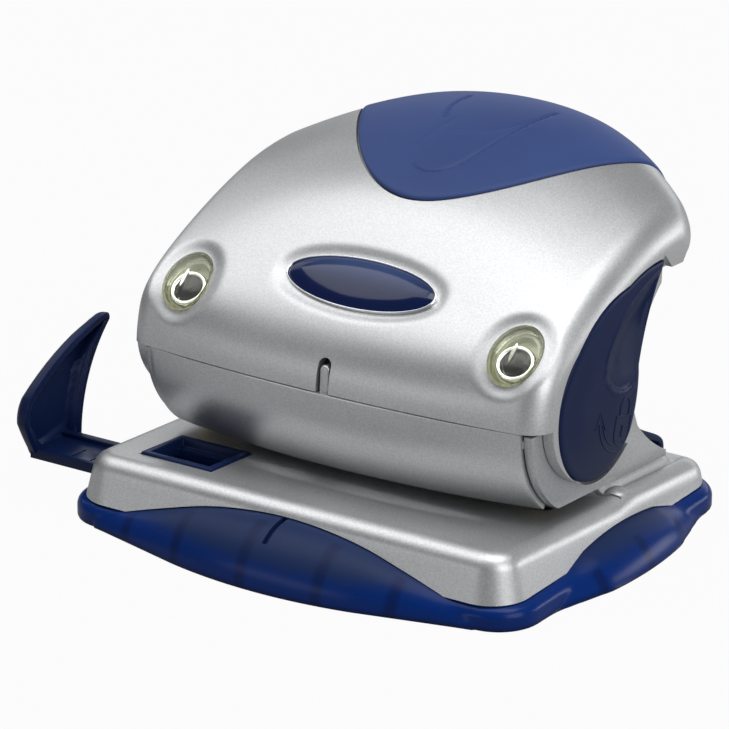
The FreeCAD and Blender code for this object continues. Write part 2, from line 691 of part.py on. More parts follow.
def chip_tray():
    band = new_body("tray_band")
    plan = rounded_rectangle(band, "tray_plan", "tray_half_width", "tray_half_depth", "tray_corner")
    pad(band, plan, "tray_band_height", middle=False)
    doc.recompute()
    top = number("tray_band_height")
    soft = rounded("tray_band_soft", band, "tray_band_round", lambda e: all(abs(v.Z - top) < 0.01 for v in e.Vertexes))
    above = "overrun"
    front_keep = box("tray_front_keep", ("-(%s)" % WIDE, "-(%s)" % WIDE, "0"), (WIDE, "-front_bulge_axis_y", above))
    outer = [soft, common("tray_front_bulge", front_bulge("tray_front_form", "0"), front_keep)]
    inner_front_keep = box("tray_inner_front_keep", ("-(%s)" % WIDE, "-(%s)" % WIDE, "tray_floor"),
                           (WIDE, "-front_bulge_axis_y + small_gap", above))
    front_inside = common("tray_front_inside", front_bulge("tray_front_hollow", "-tray_wall"), inner_front_keep)
    hollows = [front_inside]
    for word, side in SIDES:
        low_x, high_x = ("side_bulge_axis_x", WIDE) if side > 0 else ("-(%s)" % WIDE, "-side_bulge_axis_x")
        keep_box = box("tray_side_keep_" + word, (low_x, "-(%s)" % WIDE, "0"), (high_x, WIDE, above))
        outer.append(common("tray_side_bulge_" + word, side_bulge("tray_side_form_" + word, "0", side), keep_box))
        low_x, high_x = (("side_bulge_axis_x - small_gap", WIDE) if side > 0
                         else ("-(%s)" % WIDE, "-side_bulge_axis_x + small_gap"))
        inner_box = box("tray_side_inner_keep_" + word, (low_x, "-(%s)" % WIDE, "tray_floor"), (high_x, WIDE, above))
        hollows.append(common("tray_side_inside_" + word, side_bulge("tray_side_hollow_" + word, "-tray_wall", side), inner_box))
    for name, inset, low, high in (("tray_room", "tray_wall", "tray_floor", "tray_band_height - tray_wall"),
                                   ("tray_mouth", "tray_rim_width", "tray_floor", "overrun")):
        body = new_body(name)
        plan = rounded_rectangle(body, name + "_plan", "tray_half_width - " + inset,
                                 "tray_half_depth - " + inset, "tray_corner - %s * 0.9" % inset)
        pad(body, plan, "%s - (%s)" % (high, low), middle=False)
        body.setExpression("Placement.Base.z", sized(low))
        hollows.append(body)
    slot = box("tray_mark_slot", ("-tray_mark_width / 2", "-front_bulge_axis_y - front_bulge_radius * 0.7", "0"),
               ("tray_mark_width / 2", "-front_bulge_axis_y + small_gap", above))
    hollows.append(cut("tray_mark", slot, [front_bulge("tray_mark_floor", "-tray_mark_depth")]))
    axis_y = "tray_half_depth - hinge_out"
    axis_z = "base_bottom - small_gap"
    extras = []
    for word, side in SIDES:
        start = "hinge_spread / 2 * %d" % side
        hollows.append(box("tray_lug_room_" + word,
                           (start + " - knuckle_length * 1.1", axis_y + " - hinge_radius - small_gap * 2", "tray_floor"),
                           (start + " - knuckle_length * 0.5", "tray_half_depth + small_gap", "tray_band_height + small_gap")))
        for end, y in (("front", "-foot_front_y"), ("rear", "foot_rear_y")):
            spot = ("(base_half_width - foot_inset) * %d" % side, y)
            extras.append(rod("tray_collar_%s_%s" % (word, end), "foot_radius + foot_hole_gap + tray_rib",
                              "foot_height", spot + ("0",)))
    shell = cut("tray_shell", join("tray_outer", outer), hollows)
    pieces = [shell] + extras
    for i, step in enumerate((-1.2, -0.2, 0.8)):
        rib = box("tray_rib_%d" % i, ("tray_rib_spacing * %s - tray_rib / 2" % step, "-front_bulge_axis_y - front_bulge_radius", "0"),
                  ("tray_rib_spacing * %s + tray_rib / 2" % step, "-front_bulge_axis_y", "tray_band_height * 2"))
        pieces.append(common("tray_rib_cut_%d" % i, rib, front_bulge("tray_rib_form_%d" % i, "-tray_wall / 2")))
    for word, side in SIDES:
        start = "hinge_spread / 2 * %d - knuckle_length / 2 + small_gap" % side
        pieces.append(rod("tray_knuckle_" + word, "hinge_radius", "knuckle_length - small_gap",
                          (start, axis_y, axis_z), X_AXIS))
    whole = join("tray_whole", pieces)
    bores = []
    for word, side in SIDES:
        bores.append(rod("tray_knuckle_bore_" + word, "hinge_pin_radius + running_fit", "knuckle_length * 1.2",
                         ("hinge_spread / 2 * %d - knuckle_length * 0.6" % side, axis_y, axis_z), X_AXIS))
        for end, y in (("front", "-foot_front_y"), ("rear", "foot_rear_y")):
            bores.append(rod("tray_foot_hole_%s_%s" % (word, end), "foot_radius + foot_hole_gap", "overrun",
                             ("(base_half_width - foot_inset) * %d" % side, y, "-overrun / 2")))
    keep("chip_tray", cut("chip_tray_solid", whole, bores))
    pins = [rod("hinge_pin_" + word, "hinge_pin_radius", "knuckle_length * 1.5 - small_gap",
                ("hinge_spread / 2 * %d - knuckle_length" % side, axis_y, axis_z), X_AXIS) for word, side in SIDES]
    keep("tray_hinge_pins", copies("tray_hinge_pins_solid", pins))


# Pieces fixed in the head
def punch_frame():
    body = new_body("punch_frame_body")
    step = "sqrt(frame_front_radius ^ 2 - (pivot_above_deck - throat) ^ 2)"
    seam = "-seam_drop - small_gap"
    corners = [
        ("-(%s)" % step, THROAT_TOP), ("tail_reach", THROAT_TOP), ("tail_reach", THROAT_TOP + " + tail_height"),
        ("tail_start_v", "-tail_start_w"),
        ("frame_top_radius * 0.82", "sqrt(frame_top_radius ^ 2 - (frame_top_radius * 0.82) ^ 2)"),
        ("-sqrt(frame_top_radius ^ 2 - (seam_drop + small_gap) ^ 2)", seam),
        ("-sqrt(frame_front_radius ^ 2 - (seam_drop + small_gap) ^ 2)", seam),
    ]
    bends = {2: ("tail_hollow_radius", 1), 3: ("tail_hollow_radius * 1.4", 1), 4: ("frame_top_radius", -1),
             6: ("frame_front_radius", -1)}
    sketch = outline(body, "punch_frame_side", "YZ_Plane", corners, bends)
    pad(body, sketch, "frame_half_width * 2")
    inner = "(frame_half_width - frame_sheet) * 2"
    for name, v0, v1, w0 in (("room", "-overrun", "overrun * 2", WEB_TOP),
                             ("web_front", "-overrun", "-carriage_front + small_gap", "-overrun"),
                             ("web_rear", "tail_reach - frame_sheet * 2.4", "overrun * 2", "-overrun")):
        sk = outline(body, "punch_frame_" + name, "YZ_Plane", [(v0, w0), (v1, w0), (v1, "overrun"), (v0, "overrun")])
        pocket(body, sk, inner)
    holes = []
    for word, side in SIDES:
        start = "frame_half_width * %d - frame_sheet" % side if side > 0 else "-frame_half_width - frame_sheet"
        holes.append(rod("frame_stud_hole_" + word, "stud_radius", "frame_sheet * 3",
                         (start + " - frame_sheet / 2", "0", "0"), X_AXIS))
        holes.append(rod("frame_bush_hole_" + word, "pin_radius + bush_wall", "overrun",
                         ("hole_spacing / 2 * %d" % side, "-pin_forward", "-overrun")))
        for end in ("front", "rear"):
            holes.append(rod("frame_rivet_hole_%s_%s" % (word, end), "rivet_radius + running_fit", "overrun",
                             ("rivet_spread / 2 * %d" % side, "rivet_%s_v" % end, "-overrun")))
    return keep("punch_frame", cut("punch_frame_solid", body, holes), HEAD)


def rivets_and_bushes():
    rivets = []
    bushes = []
    for word, side in SIDES:
        for end in ("front", "rear"):
            spot = ("rivet_spread / 2 * %d" % side, "rivet_%s_v" % end)
            rivets.append(join("rivet_%s_%s" % (word, end), [
                rod("rivet_shank_%s_%s" % (word, end), "rivet_radius", "frame_web + sheet_wall + rivet_head_height",
                    spot + (THROAT_TOP + " - sheet_wall - rivet_head_height / 2",)),
                rod("rivet_head_%s_%s" % (word, end), "rivet_head_radius", "rivet_head_height", spot + (WEB_TOP,)),
                rod("rivet_foot_%s_%s" % (word, end), "rivet_head_radius", "rivet_head_height",
                    spot + (THROAT_TOP + " - sheet_wall - rivet_head_height",)),
            ]))
        spot = ("hole_spacing / 2 * %d" % side, "-pin_forward")
        blank = join("bush_blank_" + word, [
            rod("bush_body_" + word, "pin_radius + bush_wall", "bush_height", spot + (THROAT_TOP,)),
            rod("bush_flange_" + word, "bush_flange_radius", "bush_flange_height", spot + (WEB_TOP,)),
        ])
        bushes.append(cut("bush_" + word, blank, [rod("bush_bore_" + word, "pin_radius + running_fit", "overrun",
                                                      spot + ("-overrun",))]))
    keep("frame_rivets", copies("frame_rivets_solid", rivets), HEAD)
    keep("pin_guide_bushes", copies("pin_guide_bushes_solid", bushes), HEAD)


def guide_posts():
    posts = []
    for word, side in SIDES:
        spot = ("post_spread / 2 * %d" % side, "post_v")
        top = "carriage_bottom + carriage_sheet + small_gap"
        posts.append(join("post_" + word, [
            rod("post_foot_" + word, "post_head_radius", "post_head_height", spot + (WEB_TOP,)),
            rod("post_shank_" + word, "post_radius", "%s - (%s)" % (top, WEB_TOP), spot + (WEB_TOP,)),
            rod("post_head_" + word, "post_head_radius", "post_head_height", spot + (top,)),
        ]))
    return keep("guide_posts", copies("guide_posts_solid", posts), HEAD)


def pivot_studs():
    studs = []
    flange = "frame_sheet / 2"
    length = "frame_sheet + %s + (handle_half_width - frame_half_width) * 0.4" % flange
    for word, side in SIDES:
        if side > 0:
            flange_start = shank_start = "frame_half_width - frame_sheet - %s" % flange
        else:
            flange_start = "-frame_half_width + frame_sheet"
            shank_start = "-frame_half_width + frame_sheet + %s - (%s)" % (flange, length)
        studs.append(join("stud_" + word, [
            rod("stud_flange_" + word, "stud_radius * 1.5", flange, (flange_start, "0", "0"), X_AXIS),
            rod("stud_shank_" + word, "stud_radius", length, (shank_start, "0", "0"), X_AXIS),
        ]))
    return keep("pivot_studs", copies("pivot_studs_solid", studs), HEAD)


def barrel(name, inset):
    """A solid of the front cover's barrel form about the pivot axis, made smaller by inset."""
    body = new_body(name)
    half = "(frame_half_width - frame_sheet)"
    rise = "cover_centre_radius - cover_end_radius"
    corners = [
        ("-" + half, "0"), (half, "0"), (half, "cover_end_radius - (%s)" % inset),
        ("-" + half, "cover_end_radius - (%s)" % inset),
    ]
    radius = "(%s ^ 2 + (%s) ^ 2) / (2 * (%s))" % (half, rise, rise)
    sketch = outline(body, name + "_outline", "XZ_Plane", corners, {2: (radius, -1)})
    revolution(body, sketch, "X_Axis")
    return body


def front_cover():
    side = "frame_half_width"
    tongue = "cover_centre_radius - cover_tongue_radius - cover_wall"
    skin = common("cover_skin", cut("cover_skin_ring", barrel("cover_outer", "0"), [barrel("cover_inner", "cover_wall")]),
                  box("cover_skin_keep", ("-" + side, "-overrun * 2", THROAT_TOP), (side, "-handle_wall", "-seam_drop")))
    ledge = common("cover_ledge", cut("cover_ledge_ring", barrel("cover_ledge_outer", "cover_wall / 2"),
                                      [barrel("cover_ledge_inner", tongue + " + cover_wall")]),
                   box("cover_ledge_keep", ("-" + side, "-overrun * 2", "-seam_drop - cover_wall"),
                       (side, "-handle_wall", "-seam_drop")))
    lip = common("cover_lip", cut("cover_lip_ring", barrel("cover_lip_outer", tongue),
                                  [barrel("cover_lip_inner", tongue + " + cover_wall")]),
                 box("cover_lip_keep", ("-" + side, "-overrun * 2", "-seam_drop - cover_wall / 2"),
                     (side, "-handle_wall", "cover_tongue_rise")))
    rib = box("cover_mark", ("-mark_width / 2", "-handle_front_reach + small_gap * 2", "-seam_drop - small_gap"),
              ("mark_width / 2", "-cover_tongue_radius", "mark_height"))
    whole = join("cover_whole", [skin, ledge, lip, rib])
    web_room = box("cover_web_room", ("-" + side, "-carriage_front - small_gap / 2", "-overrun"),
                   (side, "overrun", WEB_TOP + " + small_gap"))
    return keep("front_cover", cut("front_cover_solid", whole, [web_room]), HEAD)


def rear_cover():
    body = new_body("rear_cover_body")
    wall = "rear_cover_wall"
    out_v, out_w = "tail_reach + small_gap * 2", THROAT_TOP + " + tail_height * 1.3"
    top_v, top_w = "tail_start_v + rear_cover_wall * 1.6", "-carriage_bottom + small_gap"
    corners = [
        (out_v, THROAT_TOP), (out_v, out_w), ("tail_start_v + rear_cover_wall * 1.3", "-tail_start_w"),
        (top_v, top_w), (top_v + " - " + wall, top_w),
        ("tail_start_v + rear_cover_wall * 0.3", "-tail_start_w - small_gap"),
        (out_v + " - " + wall, out_w + " - rear_cover_wall * 0.6"), (out_v + " - " + wall, THROAT_TOP),
    ]
    sketch = outline(body, "rear_cover_edge", "YZ_Plane", corners,
                     {1: ("tail_hollow_radius", 1), 5: ("tail_hollow_radius", -1)})
    pad(body, sketch, "(frame_half_width - frame_sheet) * 2")
    return keep("rear_cover", body, HEAD)


# The press carriage and its pins
def press_carriage():
    low = "carriage_bottom"
    high = "carriage_bottom + carriage_sheet"
    plate = box("carriage_plate", ("-carriage_half_width", "-carriage_front", low), ("carriage_half_width", "carriage_rear", high))
    flange = box("carriage_lip", ("-carriage_half_width", "-carriage_front", low + " - carriage_flange"),
                 ("carriage_half_width", "-carriage_front + flange_sheet", low))
    holes = []
    for word, side in SIDES:
        holes.append(rod("carriage_pin_hole_" + word, "pin_radius", "overrun",
                         ("hole_spacing / 2 * %d" % side, "-pin_forward", "-overrun / 2")))
        holes.append(rod("carriage_post_hole_" + word, "post_radius + running_fit", "overrun",
                         ("post_spread / 2 * %d" % side, "post_v", "-overrun / 2")))
    return keep("press_carriage", cut("press_carriage_solid", join("carriage_blank", [plate, flange]), holes), HEAD)


def pins_and_springs():
    tip = THROAT_TOP + " + pin_tip_gap"
    top = "carriage_bottom + carriage_sheet"
    clips = []
    for word, side in SIDES:
        spot = ("hole_spacing / 2 * %d" % side, "-pin_forward")
        blank = join("pin_blank_" + word, [
            rod("pin_shank_" + word, "pin_radius", "%s - (%s)" % (top, tip), spot + (tip,)),
            rod("pin_head_" + word, "pin_head_radius", "pin_head_height", spot + (top,)),
        ])
        grind = rod("pin_grind_" + word, "pin_tip_hollow", "pin_radius * 4",
                    (spot[0], spot[1] + " - pin_radius * 2", tip + " - sqrt(pin_tip_hollow ^ 2 - pin_radius ^ 2)"), V_AXIS)
        keep("punch_pin_" + word, cut("punch_pin_%s_solid" % word, blank, [grind]), HEAD)
        washer = rod("washer_" + word, "washer_radius", "washer_height", spot + ("carriage_bottom - washer_height",))
        clips.append(cut("pin_clip_" + word, washer, [rod("washer_hole_" + word, "pin_radius", "overrun", spot + ("-overrun / 2",))]))
        foot = THROAT_TOP + " + bush_height"
        length = "carriage_bottom - washer_height - (%s)" % foot
        sleeve = cut("spring_sleeve_" + word,
                     rod("spring_out_" + word, "spring_mean_radius + spring_wire / 2", length, spot + (foot,)),
                     [rod("spring_in_" + word, "spring_mean_radius - spring_wire / 2", "overrun * 2", spot + ("-overrun",))])
        keep("pin_spring_" + word, sleeve, HEAD)
    keep("pin_clips", copies("pin_clips_solid", clips), HEAD)


# The handle
def handle_points(x, grow):
    """The handle's side view at a station x: from front lip over the crown to the rear edge."""
    crown = 1 - abs(x / number("handle_half_width")) ** CROWN_POWER
    fronts = (-number("handle_front_reach"), -number("handle_side_front_reach"))
    rears = (number("handle_rear_reach"), number("handle_side_rear_reach"))
    heights = (number("handle_crown_height"), number("handle_side_height"))
    points = []
    for i in range(len(CENTRE_ALONG_SHARES)):
        centre = Vector(fronts[0] + (rears[0] - fronts[0]) * CENTRE_ALONG_SHARES[i],
                        heights[0] * CENTRE_RISE_SHARES[i], 0)
        end = Vector(fronts[1] + (rears[1] - fronts[1]) * SIDE_ALONG_SHARES[i],
                     heights[1] * SIDE_RISE_SHARES[i], 0)
        points.append(end + (centre - end) * crown)
    if grow == 0:
        return points
    spline = Part.BSplineCurve()
    spline.interpolate(points)
    moved = []
    for point in points:
        along = spline.tangent(spline.parameter(point))[0]
        moved.append(point + Vector(-along.y, along.x, 0) * grow)
    return moved


def handle_form(half_width, grow, deepen):
    """The handle's dome as a solid: grown or shrunk by grow, its open underside moved down by deepen."""
    sections = []
    for share in DOME_STATION_SHARES:
        x = share * half_width
        points = [Vector(x, p.x, p.y) for p in handle_points(x, grow)]
        spline = Part.BSplineCurve()
        spline.interpolate(points)
        chord = points[-1] - points[0]
        down = Vector(0, chord.z, -chord.y).normalize() * deepen
        edges = [spline.toShape()]
        if deepen:
            edges.append(Part.makeLine(points[-1], points[-1] + down))
            edges.append(Part.makeLine(points[-1] + down, points[0] + down))
            edges.append(Part.makeLine(points[0] + down, points[0]))
        else:
            edges.append(Part.makeLine(points[-1], points[0]))
        sections.append(Part.Wire(edges))
    return Part.makeLoft(sections, True, False)


def surface_frame(x, rise):
    """A placement on the handle's skin at x and a height w, its z axis pointing out of the skin."""
    def at(xx, amount):
        points = handle_points(xx, 0)
        spline = Part.BSplineCurve()
        spline.interpolate(points)
        first, last = spline.FirstParameter, spline.parameter(points[8])
        low, high = first, last
        for _ in range(50):
            middle = (low + high) / 2
            if spline.value(middle).y < amount:
                low = middle
            else:
                high = middle
        point = spline.value(low)
        along = spline.tangent(low)[0]
        return Vector(xx, point.x, point.y), Vector(0, along.x, along.y)
    point, along = at(x, rise)
    step = number("small_gap")
    across = (at(x + step, rise)[0] - at(x - step, rise)[0]).normalize()
    out = across.cross(along).normalize()
    return Placement(point, Rotation(across, out.cross(across), out, "ZXY"))


def ellipse_prism(half_x, half_y, low, high, place):
    """An upright elliptical prism between two heights along the skin's normal."""
    if half_x >= half_y:
        curve = Part.Ellipse(Vector(0, 0, low), half_x, half_y).toShape()
    else:
        curve = Part.Ellipse(Vector(0, half_y, low), Vector(half_x, 0, low), Vector(0, 0, low)).toShape()
    prism = Part.Face(Part.Wire([curve])).extrude(Vector(0, 0, high - low))
    prism.Placement = place
    return prism


def pad_prism(gap):
    """The grip pad's outline seen along w: a parabola open to the rear, grown by gap."""
    half = number("pad_half_width")
    apex = number("pad_apex_v") - gap
    length = number("pad_length")
    points = []
    for i in range(-6, 7):
        share = i / 6
        points.append(Vector((half + gap) * share, apex + length * share * share, 0))
    spline = Part.BSplineCurve()
    spline.interpolate(points)
    rear = number("handle_rear_reach + overrun")
    far_right, far_left = Vector(half + gap, rear, 0), Vector(-half - gap, rear, 0)
    edges = [spline.toShape(), Part.makeLine(points[-1], far_right), Part.makeLine(far_right, far_left),
             Part.makeLine(far_left, points[0])]
    prism = Part.Face(Part.Wire(edges)).extrude(Vector(0, 0, number("overrun * 3")))
    return prism


def ear(name, inner_x, outer_x):
    """A side ear that hangs from the dome's end wall down round the pivot."""
    body = new_body(name)
    r = "lobe_radius"
    corners = [
        ("-sqrt(lobe_radius ^ 2 - (lobe_radius * 0.15) ^ 2)", "lobe_radius * 0.15"),
        ("lobe_radius * 0.87", "-sqrt(lobe_radius ^ 2 - (lobe_radius * 0.87) ^ 2)"),
        ("lobe_radius * 0.893", "lobe_radius * 0.27"),
        ("lobe_radius * 1.42", "lobe_radius * 1.225"),
        ("handle_side_rear_reach * 0.915", "handle_side_height * 0.885"),
    ]
    sketch = outline(body, name + "_edge", "YZ_Plane", corners, {0: (r, -1), 2: ("lobe_radius * 1.32", 1)})
    pad(body, sketch, outer_x + " - (" + inner_x + ")")
    return body


def ring_prism(half_x, half_y, grow, low, high, place):
    return ellipse_prism(half_x + grow, half_y + grow, low, high, place)


def handle_pieces():
    half = number("handle_half_width")
    wall = number("handle_wall")
    thin = number("pad_thickness") - number("pad_proud")
    outer = handle_form(half, 0, 0)
    shoulders = []
    for side in (-half, half):
        rim = [e for e in outer.Edges if all(abs(v.X - side) < 0.01 for v in e.Vertexes)]
        shoulders.append(max(rim, key=lambda e: e.Length))
    outer = outer.makeFillet(number("shoulder_round"), shoulders)
    inner = handle_form(half - number("handle_side_wall"), -wall, number("overrun") / 3)
    middle = handle_form(half, -thin, number("overrun") / 3)
    proud = handle_form(half, number("pad_proud"), 0)

    dome = solid("handle_dome", outer)
    ears = [ear("handle_ear_right", "handle_half_width - handle_side_wall", "handle_half_width"),
            ear("handle_ear_left", "handle_half_width - handle_side_wall", "handle_half_width")]
    middle_x = "handle_half_width - handle_side_wall / 2"
    ears[0].setExpression("Placement.Base.x", sized(middle_x))
    ears[1].setExpression("Placement.Base.x", sized("-(%s)" % middle_x))
    hollow = solid("handle_hollow", inner)
    hollowed = cut("handle_hollowed", dome, [hollow])
    lugs = []
    shell_skin = solid("handle_lug_limit", handle_form(half, -wall / 2, number("overrun")))
    for word, side in SIDES:
        lug = box("lug_" + word,
                  ("lug_spread / 2 * %d - lug_width / 2" % side, "press_bar_v - lug_depth / 2",
                   "carriage_bottom + carriage_sheet + press_bar_radius / 2"),
                  ("lug_spread / 2 * %d + lug_width / 2" % side, "press_bar_v + lug_depth / 2", "handle_crown_height"))
        lugs.append(common("lug_cut_" + word, lug, shell_skin))
    whole = join("handle_whole", [hollowed] + ears + lugs)

    tools = []
    bar_w = "carriage_bottom + carriage_sheet + press_bar_radius + running_fit * 0.8"
    tools.append(rod("handle_bar_hole", "press_bar_radius", "press_bar_half_length * 2",
                     ("-press_bar_half_length", "press_bar_v", bar_w), X_AXIS))
    tools.append(rod("handle_stud_hole", "stud_radius + running_fit", "handle_half_width * 4",
                     ("-handle_half_width * 2", "0", "0"), X_AXIS))
    notch = "mark_width / 2 + small_gap * 1.5"
    tools.append(box("handle_notch", ("-(%s)" % notch, "-handle_front_reach * 1.2", "-seam_drop * 3"),
                     (notch, "-cover_tongue_radius", "mark_height")))
    tools.append(rod("handle_notch_top", notch, "handle_front_reach * 1.2 - cover_tongue_radius",
                     ("0", "-handle_front_reach * 1.2", "mark_height"), V_AXIS))
    pad_room = pad_prism(number("pad_gap"))
    tools.append(solid("handle_pad_room", pad_room.cut(handle_form(half, -thin - number("running_fit"), number("overrun")))))
    tools.append(lever_room())

    plate_place = surface_frame(0, number("plate_rise"))
    plate_x, plate_y = number("plate_half_length"), number("plate_half_height")
    rim, depth = number("plate_rim"), number("plate_depth")
    tools.append(solid("handle_plate_seat", ring_prism(plate_x, plate_y, 0, -depth, wall * 2, plate_place)))
    ring = ring_prism(plate_x, plate_y, 0, -depth, rim / 2, plate_place)
    ring = ring.makeFillet(rim * 0.35, [e for e in ring.Edges if e.Length > plate_x and e.Curve.TypeId == "Part::GeomEllipse"
                                       and plate_place.inverse().multVec(e.CenterOfMass).z > 0])
    badge = ring_prism(plate_x, plate_y, -rim, -depth / 2, rim / 2 + number("plate_dome") / 2, plate_place)
    well = ring_prism(plate_x, plate_y, -rim, -depth / 2, wall * 2, plate_place)
    badge = badge.makeFillet(number("plate_dome") * 0.55,
                             [e for e in badge.Edges if e.Curve.TypeId == "Part::GeomEllipse"
                              and plate_place.inverse().multVec(e.CenterOfMass).z > 0])
    keep("nameplate_rim", solid("nameplate_rim_solid", ring.cut(well)), HEAD)
    keep("nameplate_badge", solid("nameplate_badge_solid", badge), HEAD)

    lens_x, lens_y = number("lens_half_width"), number("lens_half_height")
    dish, dish_depth = number("lens_dish"), number("lens_dish_depth")
    for word, side in SIDES:
        place = surface_frame(side * number("lens_spread") / 2, number("lens_rise"))
        flange = number("lens_flange")
        seat = ring_prism(lens_x, lens_y, 0, -wall * 3, wall * 2, place)
        seat = seat.fuse(ring_prism(lens_x, lens_y, dish, -dish_depth, wall * 2, place))
        tools.append(solid("lens_seat_" + word, seat))
        cap = ring_prism(lens_x, lens_y, 0, -wall, number("lens_dome") - dish_depth, place)
        cap = cap.makeFillet(number("lens_dome") * 0.8,
                             [e for e in cap.Edges if e.Curve.TypeId == "Part::GeomEllipse"
                              and place.inverse().multVec(e.CenterOfMass).z > 0])
        cap = cap.fuse(ring_prism(lens_x, lens_y, flange, -wall - flange, -wall, place))
        cap = cap.removeSplitter()
        cup_r, cup_depth, cup_wall = number("cup_radius"), number("cup_depth"), number("cup_wall")
        socket = Part.makeCylinder(cup_r + number("running_fit"), wall * 2, Vector(0, 0, -wall - flange - wall * 2 + cup_depth))
        socket.Placement = place
        lens = cap.cut(socket)
        cup = Part.makeCylinder(cup_r, cup_depth, Vector(0, 0, -wall - flange))
        hollow_depth = cup_depth - cup_wall
        bowl_radius = ((cup_r - cup_wall) ** 2 + hollow_depth ** 2) / (2 * hollow_depth)
        bowl_centre = cup_depth - wall - flange - hollow_depth + bowl_radius
        bowl = Part.makeSphere(bowl_radius, Vector(0, 0, bowl_centre))
        cup.Placement = place
        bowl.Placement = place
        cup = cup.cut(bowl)
        keep("lens_" + word, solid("lens_%s_solid" % word, lens), HEAD)
        keep("lens_cup_" + word, solid("lens_cup_%s_solid" % word, cup), HEAD)
        tools.append(solid("lens_flange_seat_" + word,
                           ring_prism(lens_x, lens_y, flange + number("running_fit"), -wall * 3, -wall * 0.99, place)))
    keep("handle_shell", cut("handle_shell_solid", whole, tools), HEAD)
    bar = rod("press_bar_rod", "press_bar_radius", "press_bar_half_length * 2",
              ("-press_bar_half_length", "press_bar_v", bar_w), X_AXIS)
    keep("press_bar", copies("press_bar_solid", [bar]), HEAD)
    grip = proud.common(pad_prism(0)).cut(middle)
    keep("grip_pad", solid("grip_pad_solid", grip), HEAD)
    cap = rod("pivot_cap_blank", "cap_radius", "cap_height", ("-handle_half_width - cap_height", "0", "0"), X_AXIS)
    keep("pivot_cap_left", rounded("pivot_cap_round", cap, "cap_height * 0.6",
                                   lambda e: all(v.X < -number("handle_half_width + cap_height * 0.9") for v in e.Vertexes)), HEAD)


def lever_edge(name, gap):
    """The lock lever's teardrop seen from the side, grown by gap."""
    body = new_body(name)
    r = "(lever_disc_radius + (%s))" % gap
    tip_v, tip_w = "(lever_tip_v + (%s))" % gap, "(lever_tip_w + (%s) * 1.4)" % gap
    corners = [
        ("-%s * 0.95" % r, "sqrt(%s ^ 2 - (%s * 0.95) ^ 2)" % (r, r)),
        ("%s * 0.85" % r, "-sqrt(%s ^ 2 - (%s * 0.85) ^ 2)" % (r, r)),
        ("%s * 0.97" % r, "lever_disc_radius * 0.3"),
        (tip_v + " + (%s)" % gap, tip_w + " - lever_disc_radius * 0.06"),
        (tip_v, tip_w),
        ("%s * 0.58" % r, "lever_disc_radius * 1.42 + (%s)" % gap),
    ]
    bends = {0: (r, -1), 1: ("lever_disc_radius * 1.5", -1), 2: ("lever_disc_radius * 3.2", 1),
             3: ("lever_disc_radius * 0.08 + (%s)" % gap, -1), 4: ("lever_disc_radius * 2.2", -1),
             5: ("lever_disc_radius * 2.1", -1)}
    return body, outline(body, name + "_edge", "YZ_Plane", corners, bends)


def lever_room():
    """The hollow in the right ear that the lever turns in, open to the rear."""
    body, edge = lever_edge("lever_room_rest", "lever_gap")
    pad(body, edge, "overrun")
    sweep = []
    for i in range(1, 5):
        turned = doc.addObject("Part::Compound", "lever_room_turned_%d" % i)
        turned.Links = [body]
        turned.Placement = Placement(Vector(), Rotation(X_AXIS, -15 * i))
        sweep.append(turned)
    fan = new_body("lever_room_fan")
    reach = "(sqrt(lever_tip_v ^ 2 + lever_tip_w ^ 2) + lever_gap * 2)"
    corners = [("0", "0"), (reach + " * 0.968", "-%s * 0.251" % reach), (reach + " * 0.66", reach + " * 0.7513")]
    pad(fan, outline(fan, "lever_room_fan_edge", "YZ_Plane", corners, {1: (reach, -1)}), "overrun")
    room = join("lever_room_swept", [body, fan] + sweep)
    holder = doc.addObject("Part::Compound", "lever_room_placed")
    holder.Links = [room]
    holder.setExpression("Placement.Base.x", sized("handle_half_width - lever_recess + overrun / 2"))
    return holder


def lock_lever():
    body, edge = lever_edge("lock_lever_body", "0")
    pad(body, edge, "lever_thickness")
    inner = doc.addObject("Part::Compound", "lock_lever_placed")
    inner.Links = [body]
    inner.setExpression("Placement.Base.x", sized("handle_half_width - lever_recess + lever_thickness / 2 + running_fit * 2"))
    thumb = doc.addObject("Part::Sphere", "lever_thumb_hollow")
    thumb.setExpression("Radius", sized("thumb_hollow_radius"))
    thumb.setExpression("Placement.Base.x", sized(
        "handle_half_width - lever_recess + lever_thickness + running_fit * 2 + thumb_hollow_radius - thumb_hollow_depth"))
    thumb.setExpression("Placement.Base.y", sized("lever_disc_radius * 0.75"))
    thumb.setExpression("Placement.Base.z", sized("lever_disc_radius * 0.85"))
    return keep("lock_lever", cut("lock_lever_solid", inner, [thumb]), HEAD)


for make in (base_plate, feet, die_plate, guide_housing, click_spring, paper_guide, chip_tray,
             punch_frame, rivets_and_bushes, guide_posts, pivot_studs, front_cover, rear_cover,
             press_carriage, pins_and_springs, handle_pieces, lock_lever):
    make()
doc.recompute()

for thing in doc.Objects:
    if "Invalid" in thing.State or "Error" in thing.State:
        raise ValueError("%s did not recompute: %s" % (thing.Name, thing.State))
for thing in finished:
    if thing.Shape.isNull() or not thing.Shape.isValid():
        raise ValueError("%s has no valid shape" % thing.Label)
    thing.Shape.exportStep("parts/%s.step" % thing.Label)
print("%d parts written" % len(finished))
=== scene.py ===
# Two-hole desk punch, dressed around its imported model: the domed silver handle with its
# rubber grip, bare nameplate and pin lenses, the lock lever, the barrel cover, the base,
# the chip tray that looks translucent, and the sliding paper guide.
# Pieces are drawn in millimetres in the head's, the deck's or the row's own frame.
import math

import bmesh
import bpy
import numpy as np
from mathutils import Matrix, Vector


